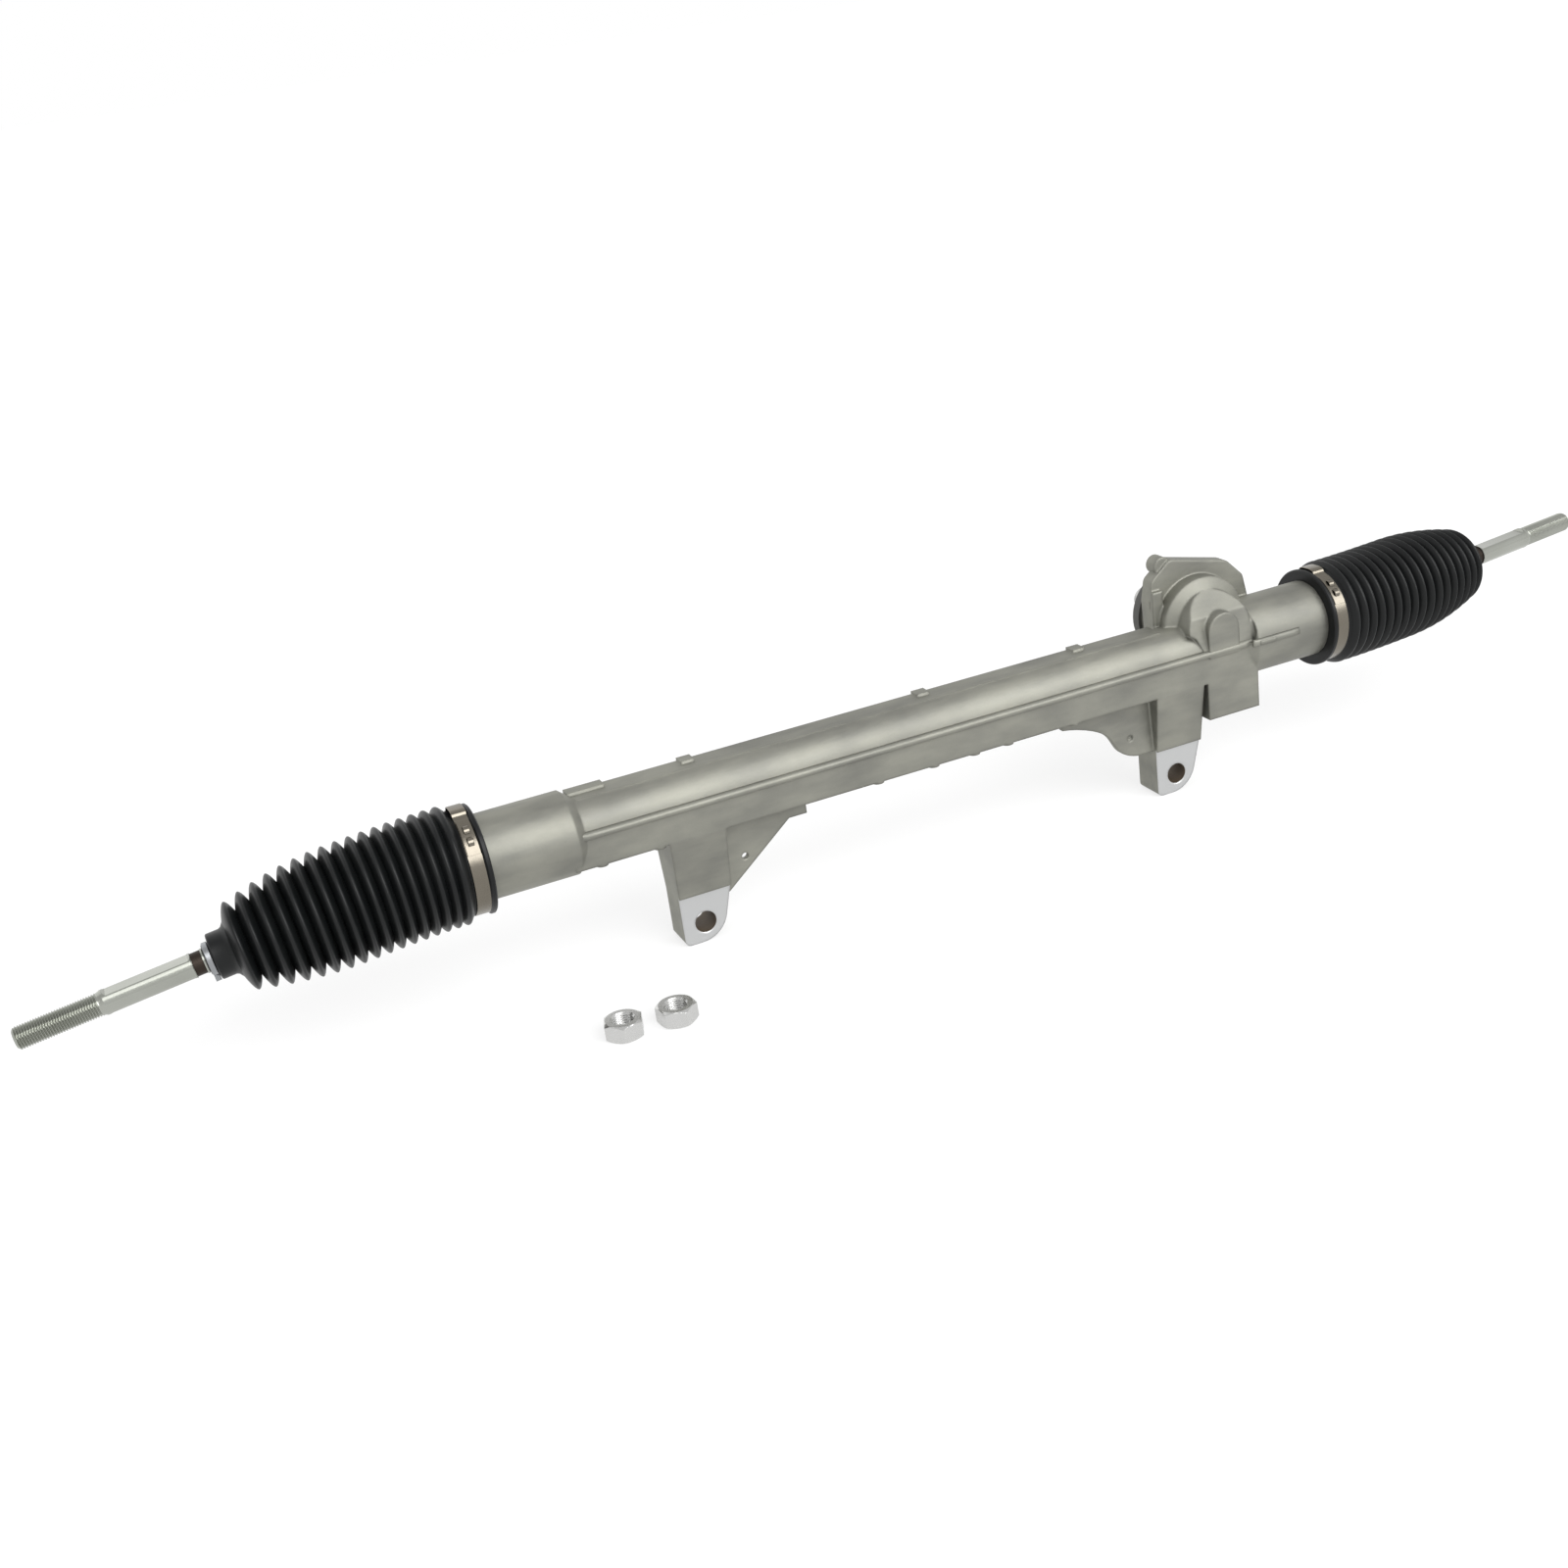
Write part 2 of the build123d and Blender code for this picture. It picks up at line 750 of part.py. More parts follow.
def cut_ball_track():
    with BuildSketch(pinion_plane) as track:
        with Locations((bearing_mid, ball_circle)):
            Circle(bearing_ball_radius + running_fit)
    revolve(track.sketch, axis=pinion_line, mode=Mode.SUBTRACT)


with BuildPart() as bearing_outer_race:
    ring_between(outer_race_radius, bearing_radius)
    cut_ball_track()
bearing_outer_race.part.label = "bearing_outer_race"
export_step(bearing_outer_race.part, "parts/bearing_outer_race.step")

with BuildPart() as bearing_inner_race:
    ring_between(bearing_bore, inner_race_radius)
    cut_ball_track()
bearing_inner_race.part.label = "bearing_inner_race"
export_step(bearing_inner_race.part, "parts/bearing_inner_race.step")

with BuildPart() as bearing_ball_set:
    cage_half_width = bearing_ball_radius + seat_gap
    turn(
        pinion_plane, pinion_line,
        (bearing_mid - cage_half_width, ball_circle - snap_width),
        (bearing_mid - cage_half_width, ball_circle + snap_width),
        (bearing_mid + cage_half_width, ball_circle + snap_width),
        (bearing_mid + cage_half_width, ball_circle - snap_width),
    )
    with Locations(pinion_face.offset(-bearing_mid)):
        with PolarLocations(ball_circle, bearing_balls):
            Sphere(bearing_ball_radius)
bearing_ball_set.part.label = "bearing_ball_set"
export_step(bearing_ball_set.part, "parts/bearing_ball_set.step")

# Snap ring behind the inner race
with BuildPart() as snap_ring:
    turn(
        pinion_plane, pinion_line,
        (bearing_end, bearing_bore - snap_height / 2), (bearing_end, bearing_bore + snap_height / 2),
        (bearing_end + snap_width, bearing_bore + snap_height / 2),
        (bearing_end + snap_width, bearing_bore - snap_height / 2),
    )
    slab(
        pinion_plane.offset(-snap_height),
        (bearing_end - overrun, bearing_bore / 2), (bearing_end + snap_width + overrun, bearing_bore / 2),
        (bearing_end + snap_width + overrun, 2 * bearing_bore), (bearing_end - overrun, 2 * bearing_bore),
        depth=2 * snap_height, mode=Mode.SUBTRACT,
    )
snap_ring.part.label = "snap_ring"
export_step(snap_ring.part, "parts/snap_ring.step")

# Retaining nut over the outer race, with the slots of its wrench
with BuildPart() as retaining_nut:
    nut_end = bearing_end + nut_length
    turn(
        pinion_plane, pinion_line,
        (bearing_end, outer_race_radius), (bearing_end, bearing_radius), (nut_end, bearing_radius),
        (nut_end, nut_bore), (bearing_end + nut_length - seal_width, nut_bore),
        (bearing_end + nut_length - seal_width, outer_race_radius),
    )
    with BuildSketch(pinion_face.offset(-nut_end + nut_slot_depth)) as slots:
        with PolarLocations(bearing_radius, nut_slots):
            Rectangle(nut_slot_width, nut_slot_width)
    extrude(slots.sketch, amount=-nut_slot_depth - overrun, mode=Mode.SUBTRACT)
retaining_nut.part.label = "retaining_nut"
export_step(retaining_nut.part, "parts/retaining_nut.step")

# Oil seal in the nut, with its lip on the shaft
with BuildPart() as pinion_seal:
    seal_start = bearing_end + nut_length - seal_width
    lip_radius = bearing_bore + running_fit
    turn(
        pinion_plane, pinion_line,
        (seal_start, lip_radius + seal_rim), (seal_start, nut_bore), (nut_end, nut_bore),
        (nut_end, nut_bore - seal_rim), (seal_start + seal_rim, nut_bore - seal_rim),
        (seal_start + seal_rim, lip_radius + 2 * seal_rim), (nut_end, lip_radius + seal_rim / 2),
        (nut_end, lip_radius),
    )
pinion_seal.part.label = "pinion_seal"
export_step(pinion_seal.part, "parts/pinion_seal.step")

# Rubber dust cap over the neck of the tower
with BuildPart() as dust_cap:
    cap_bore = bearing_bore + running_fit
    turn(
        pinion_plane, pinion_line,
        (neck_end - cap_overlap, neck_outer_radius), (neck_end - cap_overlap, neck_outer_radius + cap_wall),
        (neck_end + cap_wall, neck_outer_radius + cap_wall), (neck_end + cap_length, cap_bore + 2 * cap_wall),
        (neck_end + cap_length, cap_bore), (neck_end + cap_length - cap_wall, cap_bore),
        (neck_end, neck_outer_radius - cap_wall), (neck_end, neck_outer_radius),
    )
dust_cap.part.label = "dust_cap"
export_step(dust_cap.part, "parts/dust_cap.step")


# Yoke, its liner, ring, disc springs and plug
yoke_radius = yoke_bore - running_fit
liner_radius = rack_radius + running_fit
cradle_radius = liner_radius + liner_thickness
yoke_bottom = yoke_top + yoke_length
ring_place = yoke_top + ring_place_share * yoke_length
ring_groove = yoke_bore - 2 * ring_radius

with BuildPart() as rack_yoke:
    disc(yoke_floor.offset(-yoke_bottom), yoke_radius, yoke_length)
    disc(across.offset(pinion_place - yoke_bore - overrun), cradle_radius, 2 * (yoke_bore + overrun),
         mode=Mode.SUBTRACT)
    disc(yoke_floor.offset(-yoke_bottom), yoke_pocket_radius, yoke_pocket_depth, mode=Mode.SUBTRACT)
    turn(
        yoke_plane, yoke_line,
        (ring_groove, -ring_place - ring_radius), (yoke_bore + overrun, -ring_place - ring_radius),
        (yoke_bore + overrun, -ring_place + ring_radius), (ring_groove, -ring_place + ring_radius),
        mode=Mode.SUBTRACT,
    )
rack_yoke.part.label = "rack_yoke"
export_step(rack_yoke.part, "parts/rack_yoke.step")

with BuildPart() as yoke_liner:
    disc(yoke_floor.offset(-cradle_radius - overrun), yoke_radius - liner_thickness,
         cradle_radius + overrun - yoke_top)
    with BuildSketch(across.offset(pinion_place - yoke_bore)) as shell:
        Circle(cradle_radius)
        Circle(liner_radius, mode=Mode.SUBTRACT)
    extrude(shell.sketch, amount=2 * yoke_bore, mode=Mode.INTERSECT)
yoke_liner.part.label = "yoke_liner"
export_step(yoke_liner.part, "parts/yoke_liner.step")

with BuildPart() as yoke_ring:
    with BuildSketch(yoke_plane) as cord_section:
        with Locations((yoke_bore - ring_radius, -ring_place)):
            Circle(ring_radius)
    revolve(cord_section.sketch, axis=yoke_line)
yoke_ring.part.label = "yoke_ring"
export_step(yoke_ring.part, "parts/yoke_ring.step")

plug_top = block_drop - plug_length
spring_room = plug_top - yoke_bottom
spring_outer_radius = yoke_bore - 2 * running_fit - spring_wall
with BuildPart() as disc_springs:
    for start, direction in ((-yoke_bottom, -1), (-plug_top, 1)):
        turn(
            yoke_plane, yoke_line,
            (spring_inner_radius + yoke_pocket_radius / 2, start),
            (spring_outer_radius, start + direction * (spring_room / 2 - spring_wall / 2)),
            (spring_outer_radius, start + direction * spring_room / 2),
            (spring_inner_radius + yoke_pocket_radius / 2, start + direction * spring_wall),
        )
disc_springs.part.label = "disc_springs"
export_step(disc_springs.part, "parts/disc_springs.step")

with BuildPart() as yoke_plug:
    disc(yoke_floor.offset(-block_drop), yoke_bore, plug_length)
    chamfer(yoke_plug.edges().group_by(Axis.Z)[0], length=thread_chamfer / 2)
    with BuildSketch(yoke_floor.offset(-block_drop)) as socket:
        RegularPolygon(socket_width / 2, 6, major_radius=False)
    extrude(socket.sketch, amount=socket_depth, mode=Mode.SUBTRACT)
yoke_plug.part.label = "yoke_plug"
export_step(yoke_plug.part, "parts/yoke_plug.step")


# Ball joints, tie rods, bellows and clamps, once for each side
def make_lock_washer(side):
    """Tab washer between the rack's end and the ball housing."""
    start = centre + side.outward * rack_half_length
    with BuildPart() as lock_washer:
        disc(Plane(origin=start, z_dir=side.outward), washer_radius, washer_thickness)
        disc(Plane(origin=start, z_dir=side.outward).offset(-overrun), shank_radius,
             washer_thickness + 2 * overrun, mode=Mode.SUBTRACT)
    lock_washer.part.label = f"{side.name}_lock_washer"
    export_step(lock_washer.part, f"parts/{side.name}_lock_washer.step")


def make_ball_housing(side):
    """Socket of the inner ball joint, with its threaded shank and wrench flats."""
    plane = side.plane(side.outward)
    line = side.line(side.outward)
    mouth_place = cavity_radius * cos(radians(mouth_angle))
    mouth_radius = cavity_radius * sin(radians(mouth_angle))
    inboard = -housing_inboard
    with BuildPart() as ball_housing:
        turn(
            plane, line,
            (inboard - shank_length, 0), (inboard - shank_length, shank_radius - thread_chamfer),
            (inboard - shank_length + thread_chamfer, shank_radius), (inboard, shank_radius),
            (inboard, ball_housing_radius - housing_taper), (inboard + housing_taper, ball_housing_radius),
            (mouth_place - 2 * housing_taper, ball_housing_radius),
            (mouth_place, mouth_radius + housing_wall / 2), (mouth_place, 0),
        )
        with Locations(Plane(origin=side.ball_centre, z_dir=side.outward)):
            Sphere(cavity_radius, mode=Mode.SUBTRACT)
        for face in (-1, 1):
            flat = Plane(origin=side.ball_centre, x_dir=side.outward, z_dir=up * face)
            slab(
                flat.offset(wrench_flat_width / 2),
                (inboard, -ball_housing_radius), (inboard + wrench_flat_length, -ball_housing_radius),
                (inboard + wrench_flat_length, ball_housing_radius), (inboard, ball_housing_radius),
                depth=ball_housing_radius, mode=Mode.SUBTRACT,
            )
    ball_housing.part.label = f"{side.name}_ball_housing"
    export_step(ball_housing.part, f"parts/{side.name}_ball_housing.step")


def make_ball_seat(side):
    """Moulded cup round the ball, open towards the rod."""
    half_angle = radians((180 + seat_edge_angle) / 2)
    inner_radius = ball_radius + running_fit
    with BuildPart() as ball_seat:
        with BuildSketch(side.plane(side.seat_direction)) as half_section:
            with BuildLine():
                outside = ThreePointArc(
                    on_circle(seat_outer_radius, radians(seat_edge_angle)),
                    on_circle(seat_outer_radius, half_angle), (-seat_outer_radius, 0),
                )
                pole = Line(outside @ 1, (-inner_radius, 0))
                inside = ThreePointArc(
                    pole @ 1, on_circle(inner_radius, half_angle),
                    on_circle(inner_radius, radians(seat_edge_angle)),
                )
                Line(inside @ 1, outside @ 0)
            make_face()
        revolve(half_section.sketch, axis=side.line(side.seat_direction))
    ball_seat.part.label = f"{side.name}_ball_seat"
    export_step(ball_seat.part, f"parts/{side.name}_ball_seat.step")


collar_end = collar_start + collar_length + clip_neck_length
collar_bore = groove_radius + running_fit
clip_neck_radius = collar_bore + clip_neck_wall


def make_tie_rod(side):
    """Ball stud and rod in one forging, with wrench flats and a threaded end."""
    plane = side.plane(side.rod_direction)
    neck_start = sqrt(ball_radius ** 2 - neck_radius ** 2)
    with BuildPart() as tie_rod:
        with Locations(plane):
            Sphere(ball_radius)
        turn(
            plane, side.line(side.rod_direction),
            (0, 0), (neck_start - thread_chamfer, neck_radius), (rod_neck_length, neck_radius),
            (rod_neck_length + rod_neck_taper, rod_radius), (collar_start, rod_radius),
            (collar_start, groove_radius), (collar_end, groove_radius), (collar_end, rod_radius),
            (ring_groove_start, rod_radius), (ring_groove_start, rod_radius - ring_groove_depth),
            (ring_groove_start + ring_groove_length, rod_radius - ring_groove_depth),
            (ring_groove_start + ring_groove_length, rod_radius), (flats_end, rod_radius),
            (flats_end + thread_chamfer, thread_radius - thread_relief),
            (flats_end + 2 * thread_chamfer, thread_radius), (rod_length - thread_chamfer, thread_radius),
            (rod_length, thread_radius - thread_chamfer), (rod_length, 0),
        )
        for face in (-1, 1):
            flat = Plane(origin=plane.origin, x_dir=plane.x_dir, z_dir=plane.y_dir * face)
            slab(
                flat.offset(flats_width / 2),
                (flats_start, -rod_radius), (flats_end, -rod_radius),
                (flats_end, rod_radius), (flats_start, rod_radius),
                depth=rod_radius, mode=Mode.SUBTRACT,
            )
    tie_rod.part.label = f"{side.name}_tie_rod"
    export_step(tie_rod.part, f"parts/{side.name}_tie_rod.step")


def bend_line(side):
    """Centre line of the bellows, from the tube's axis round to the tilted rod's axis."""
    with BuildLine() as bend:
        Bezier(
            centre + side.outward * (lip_place + cuff_length),
            side.ball_centre,
            side.ball_centre + side.rod_direction * (collar_start + running_fit),
        )
    return bend.line


def fold_radii():
    """Outer radii of the bellows, valley and peak in turn, with their places along the bend."""
    steps = 2 * bellows_folds
    radii = []
    for step in range(steps + 1):
        share = step / steps
        taper = max((share - (1 - fold_taper_share)) / fold_taper_share, 0)
        peak = fold_peak_radius - (fold_peak_radius - fold_end_radius) * taper ** 2
        depth = fold_depth_inboard + (fold_depth_outboard - fold_depth_inboard) * share
        place = share * (1 + fold_growth * share) / (1 + fold_growth)
        radii.append((place * (1 - cone_share), peak if step % 2 else peak - depth))
    radii.append((1, collar_radius))
    return radii


def bellows_body(side, radii):
    """Loft of straight cones through circles that stand square to the bend."""
    line = bend_line(side)
    for share, radius in radii:
        plane = Plane(origin=line @ share, x_dir=(line % share).cross(up), z_dir=line % share)
        with BuildSketch(plane) as fold:
            Circle(radius)
        yield fold.sketch


def make_bellows(side):
    """Rubber bellows: lip and cuff on the tube, folds along the bend, collar on the rod."""
    plane = side.plane(side.rod_direction)
    outer = fold_radii()
    inner = [(share, radius - bellows_wall) for share, radius in outer[2:-1:2]]
    inner = [(0, end_radius), *inner, (1, rod_radius + running_fit)]
    tube_face = -ball_place + lip_place
    with BuildPart() as bellows:
        loft(list(bellows_body(side, outer)), ruled=True)
        loft(list(bellows_body(side, inner)), ruled=True, mode=Mode.SUBTRACT)
        cuff_radius = end_radius + cuff_wall
        turn(
            side.plane(side.outward), side.line(side.outward),
            (tube_face, end_radius), (tube_face, end_radius + cuff_wall + lip_height),
            (tube_face + lip_thickness, end_radius + cuff_wall + lip_height),
            (tube_face + lip_thickness, cuff_radius), (tube_face + cuff_length, cuff_radius),
            (tube_face + cuff_length, end_radius),
        )
        turn(
            plane, side.line(side.rod_direction),
            (collar_start + running_fit, collar_bore), (collar_start + running_fit, collar_radius),
            (collar_start + collar_length, collar_radius), (collar_start + collar_length, clip_neck_radius),
            (collar_end - running_fit, clip_neck_radius), (collar_end - running_fit, collar_bore),
        )
    bellows.part.label = f"{side.name}_bellows"
    export_step(bellows.part, f"parts/{side.name}_bellows.step")


def make_band_clamp(side):
    """Stainless band round the cuff, with its pinched ear on top."""
    start = -ball_place + lip_place + lip_thickness
    inner = end_radius + cuff_wall
    outer = inner + band_thickness
    with BuildPart() as band_clamp:
        turn(
            side.plane(side.outward), side.line(side.outward),
            (start, inner), (start, outer), (start + band_width, outer), (start + band_width, inner),
        )
        ear_side = across.offset(side.sign * (ball_place + start) - band_width / 2 + side.sign * band_width / 2)
        slab(
            ear_side,
            (-band_ear_width / 2, inner + band_thickness / 2), (-band_ear_width / 2, outer + band_ear_height / 2),
            (-band_ear_width / 4, outer + band_ear_height), (band_ear_width / 4, outer + band_ear_height),
            (band_ear_width / 2, outer + band_ear_height / 2), (band_ear_width / 2, inner + band_thickness / 2),
            depth=band_width,
        )
    band_clamp.part.label = f"{side.name}_band_clamp"
    export_step(band_clamp.part, f"parts/{side.name}_band_clamp.step")


def make_spring_clip(side):
    """Spring clip round the bellows' neck, with its two ears below."""
    plane = side.plane(side.rod_direction)
    inner = clip_neck_radius + seat_gap
    start = collar_end - (clip_neck_length + clip_width) / 2
    with BuildPart() as spring_clip:
        turn(
            plane, side.line(side.rod_direction),
            (start, inner), (start, inner + clip_thickness),
            (start + clip_width, inner + clip_thickness), (start + clip_width, inner),
        )
        for face in (-1, 1):
            slab(
                plane.offset(face * clip_thickness - clip_thickness / 2),
                (start, -inner - clip_thickness / 2), (start, -inner - clip_thickness - clip_ear_height),
                (start + clip_width, -inner - clip_thickness - clip_ear_height),
                (start + clip_width, -inner - clip_thickness / 2),
                depth=clip_thickness,
            )
    spring_clip.part.label = f"{side.name}_spring_clip"
    export_step(spring_clip.part, f"parts/{side.name}_spring_clip.step")


for side in sides:
    make_lock_washer(side)
    make_ball_housing(side)
    make_ball_seat(side)
    make_tie_rod(side)
    make_bellows(side)
    make_band_clamp(side)
    make_spring_clip(side)

# Two loose jam nuts that lie beside the lugs, at the height of their tips
nut_reach = nut_width / 2 / cos(radians(nut_chamfer_angle)) + overrun
nut_chamfer_slope = tan(radians(nut_chamfer_angle))

with BuildPart() as jam_nuts:
    floor_height = -lug_tip_drop
    for (place_x, place_y), nut_turn in zip(nut_places, nut_turns):
        spot = along * (place_x - centre_shift) + back * (place_y + axis_setback) + up * floor_height
        base = Plane(origin=spot, z_dir=up).rotated((0, 0, nut_turn))
        with BuildSketch(base) as hexagon:
            RegularPolygon(nut_width / 2, 6, major_radius=False)
            Circle(nut_hole_radius, mode=Mode.SUBTRACT)
        extrude(hexagon.sketch, amount=nut_height)
        for face in (-1, 1):
            end_height = nut_height / 2 + face * nut_height / 2
            turn(
                Plane(origin=spot, x_dir=along, z_dir=-back), Axis(spot, up),
                (nut_chamfer_radius, end_height), (nut_reach, end_height),
                (nut_reach, end_height - face * (nut_reach - nut_chamfer_radius) * nut_chamfer_slope),
                mode=Mode.SUBTRACT,
            )
jam_nuts.part.label = "jam_nuts"
export_step(jam_nuts.part, "parts/jam_nuts.step")
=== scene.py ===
"""Looks of a rack-and-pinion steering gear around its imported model, in metres.

The frame is the part's own: X along the rack, Y away from the machined faces of the lugs,
Z from the mounting holes up to the rack, with the origin midway between the holes.
"""

import bisect
import logging
import math
from dataclasses import dataclass, field
from enum import Enum
from typing import Callable, Sequence

import bmesh
import bpy
from mathutils import Matrix, Vector

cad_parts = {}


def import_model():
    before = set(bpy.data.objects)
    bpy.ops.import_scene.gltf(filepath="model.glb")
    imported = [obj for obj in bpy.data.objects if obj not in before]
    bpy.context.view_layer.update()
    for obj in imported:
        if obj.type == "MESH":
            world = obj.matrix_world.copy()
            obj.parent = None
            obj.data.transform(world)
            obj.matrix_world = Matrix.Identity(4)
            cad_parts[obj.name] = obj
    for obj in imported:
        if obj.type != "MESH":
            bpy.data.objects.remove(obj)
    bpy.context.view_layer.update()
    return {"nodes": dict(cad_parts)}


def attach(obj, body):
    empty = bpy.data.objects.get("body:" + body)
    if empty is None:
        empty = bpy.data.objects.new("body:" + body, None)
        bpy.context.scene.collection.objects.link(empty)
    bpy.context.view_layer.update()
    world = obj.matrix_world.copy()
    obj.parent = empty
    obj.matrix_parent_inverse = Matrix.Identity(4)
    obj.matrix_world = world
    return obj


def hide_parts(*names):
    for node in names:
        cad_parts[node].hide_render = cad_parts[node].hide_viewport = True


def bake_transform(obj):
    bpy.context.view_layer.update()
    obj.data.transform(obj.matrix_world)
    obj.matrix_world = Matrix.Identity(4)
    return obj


Colour = tuple[float, float, float]

LOG = logging.getLogger("steering_rack")
MM = 0.001
ALONG = Vector((1, 0, 0))
BACK = Vector((0, 1, 0))
UP = Vector((0, 0, 1))
RACK_CENTRE = Vector((-4.7, 12.5, 80.0)) * MM
WHITE = (1.0, 1.0, 1.0, 1.0)
SIXTH_TURN = math.pi / 3
NOISE_MEAN = 0.5
# Sockets of a Mix node that stand for its share, its two colours and its mixed colour
MIX_SHARE, MIX_LOW, MIX_HIGH, MIX_RESULT = 0, 6, 7, 2
# Share of a strip's thickness that its rounded edges take
STRIP_ROUNDING = 0.3


class Grain(Enum):
    """How the fine marks of a metal run, as their scale along X, Y and Z."""

    EVEN = (1.0, 1.0, 1.0)
    TURNED = (6.0, 0.6, 0.6)


@dataclass(frozen=True)
class Noise:
    """Cloudy marks: grains in a metre, levels of finer marks, and a scale along each axis."""

    scale: float
    detail: float = 3.0
    stretch: tuple[float, float, float] = (1.0, 1.0, 1.0)


@dataclass(frozen=True)
class Signal:
    """Output of a node, on which Python arithmetic adds Math nodes."""

    bench: "Bench"
    socket: bpy.types.NodeSocket

    def maths(self, operation: str, *others: "Signal | float") -> "Signal":
        """Add a Math node on this signal and the others."""
        return self.bench.maths(operation, self, *others)

    def __add__(self, other: "Signal | float") -> "Signal":
        """Sum of two values."""
        return self.maths("ADD", other)

    __radd__ = __add__

    def __mul__(self, other: "Signal | float") -> "Signal":
        """Product of two values."""
        return self.maths("MULTIPLY", other)

    __rmul__ = __mul__

    def __sub__(self, other: "Signal | float") -> "Signal":
        """Difference of two values."""
        return self.maths("SUBTRACT", other)

    def __rsub__(self, other: float) -> "Signal":
        """Difference with the value on the left."""
        return self.bench.maths("SUBTRACT", other, self)

    def __lt__(self, other: "Signal | float") -> "Signal":
        """One where this value is less than the other."""
        return self.maths("LESS_THAN", other)

    def __gt__(self, other: "Signal | float") -> "Signal":
        """One where this value is more than the other, also for a number on the left of <."""
        return self.maths("GREATER_THAN", other)

    def __abs__(self) -> "Signal":
        """Size of the value without its sign."""
        return self.maths("ABSOLUTE")

    def sway(self, amount: float) -> "Signal":
        """Noise brought to lie evenly about zero, times an amount."""
        return (self - NOISE_MEAN) * amount

    def sibling(self, output: int | str) -> "Signal":
        """Another output of the same node."""
        return Signal(self.bench, self.socket.node.outputs[output])


class Bench:
    """Node tree of a material or the world, with one method that adds any node."""

    def __init__(self, owner: bpy.types.Material | bpy.types.World) -> None:
        """Start with an empty tree.

        Args:
            owner: Material or world whose nodes are made here.
        """
        owner.use_nodes = True
        self.owner = owner
        self.tree = owner.node_tree
        self.tree.nodes.clear()

    def add(self, kind: str, settings: dict | None = None, inputs: dict | None = None,
            output: int | str | None = 0) -> Signal | None:
        """Add one node.

        Args:
            kind: Type of the node.
            settings: Properties of the node, which are set first.
            inputs: Value or signal for each socket, by name or number.
            output: Socket that the result is read from, or None for a node without one.

        Returns:
            The chosen output.
        """
        node = self.tree.nodes.new(kind)
        for key, value in (settings or {}).items():
            setattr(node, key, value)
        for key, value in (inputs or {}).items():
            if isinstance(value, Signal):
                self.tree.links.new(value.socket, node.inputs[key])
            else:
                node.inputs[key].default_value = value
        return None if output is None else Signal(self, node.outputs[output])

    def maths(self, operation: str, *values: Signal | float) -> Signal:
        """Add a Math node on up to three values."""
        return self.add("ShaderNodeMath", {"operation": operation}, dict(enumerate(values)))

    def place(self) -> Signal:
        """Place on the object, in the part's frame."""
        return self.add("ShaderNodeTexCoord", output="Object")

    def parts(self, vector: Signal) -> tuple[Signal, Signal, Signal]:
        """Split a vector into its three values."""
        first = self.add("ShaderNodeSeparateXYZ", inputs={"Vector": vector})
        return tuple(first.sibling(index) for index in range(3))

    def noise(self, noise: Noise) -> Signal:
        """Draw noise over the object.

        Args:
            noise: Size, detail and stretch of its grains.

        Returns:
            The noise, from 0 to 1.
        """
        stretched = self.add("ShaderNodeMapping", inputs={
            "Vector": self.place(), "Scale": noise.stretch,
        })
        return self.add("ShaderNodeTexNoise", {"noise_dimensions": "3D"}, {
            "Vector": stretched, "Scale": noise.scale, "Detail": noise.detail,
        })

    def mix(self, share: Signal, first: Signal | Colour, second: Signal | Colour) -> Signal:
        """Mix two colours.

        Args:
            share: Share of the second colour.
            first: Colour where the share is 0.
            second: Colour where the share is 1.

        Returns:
            The mixed colour.
        """
        low, high = (
            value if isinstance(value, Signal) else (*value, 1.0) for value in (first, second)
        )
        sockets = {MIX_SHARE: share, MIX_LOW: low, MIX_HIGH: high}
        return self.add("ShaderNodeMix", {"data_type": "RGBA"}, sockets, output=MIX_RESULT)

    def bumped(self, height: Signal, strength: float, depth: float,
               normal: Signal | None = None) -> Signal:
        """Roughen a surface's normal.

        Args:
            height: Height of the surface, from 0 to 1.
            strength: Strength of the effect.
            depth: Distance from the lowest to the highest place.
            normal: Normal of the smooth surface, or None for the mesh's own.

        Returns:
            The new normal.
        """
        inputs = {"Height": height, "Strength": strength, "Distance": depth}
        if normal:
            inputs["Normal"] = normal
        return self.add("ShaderNodeBump", inputs=inputs)

    def shade(self, inputs: dict) -> bpy.types.Material:
        """Close the tree with the surface shader.

        Args:
            inputs: Value or signal for each socket of the shader.

        Returns:
            The finished material.
        """
        surface = self.add("ShaderNodeBsdfPrincipled", inputs=inputs)
        self.add("ShaderNodeOutputMaterial", inputs={"Surface": surface}, output=None)
        return self.owner


@dataclass(frozen=True)
class Metal:
    """Finish of a bare, turned or plated metal piece."""

    name: str
    colour: Colour
    shade: Colour
    roughness: float
    grain: Grain
    fine_scale: float = 400.0
    fine_detail: float = 4.0
    broad_detail: float = 2.0
    fine_to_broad: float = 12.0
    roughness_spread: float = 0.12
    relief_strength: float = 0.25
    relief_depth: float = 0.06 * MM

    def material(self) -> bpy.types.Material:
        """Make the metal, with fine marks that follow the way the piece was made.

        Returns:
            The material.
        """
        bench = Bench(bpy.data.materials.new(self.name))
        fine = bench.noise(Noise(self.fine_scale, self.fine_detail, self.grain.value))
        broad = bench.noise(Noise(self.fine_scale / self.fine_to_broad, self.broad_detail))
        worn = fine.sway(self.roughness_spread) + broad.sway(self.roughness_spread)
        return bench.shade({
            "Base Color": bench.mix(broad, self.colour, self.shade), "Metallic": 1.0,
            "Roughness": worn + self.roughness,
            "Normal": bench.bumped(fine, self.relief_strength, self.relief_depth),
        })


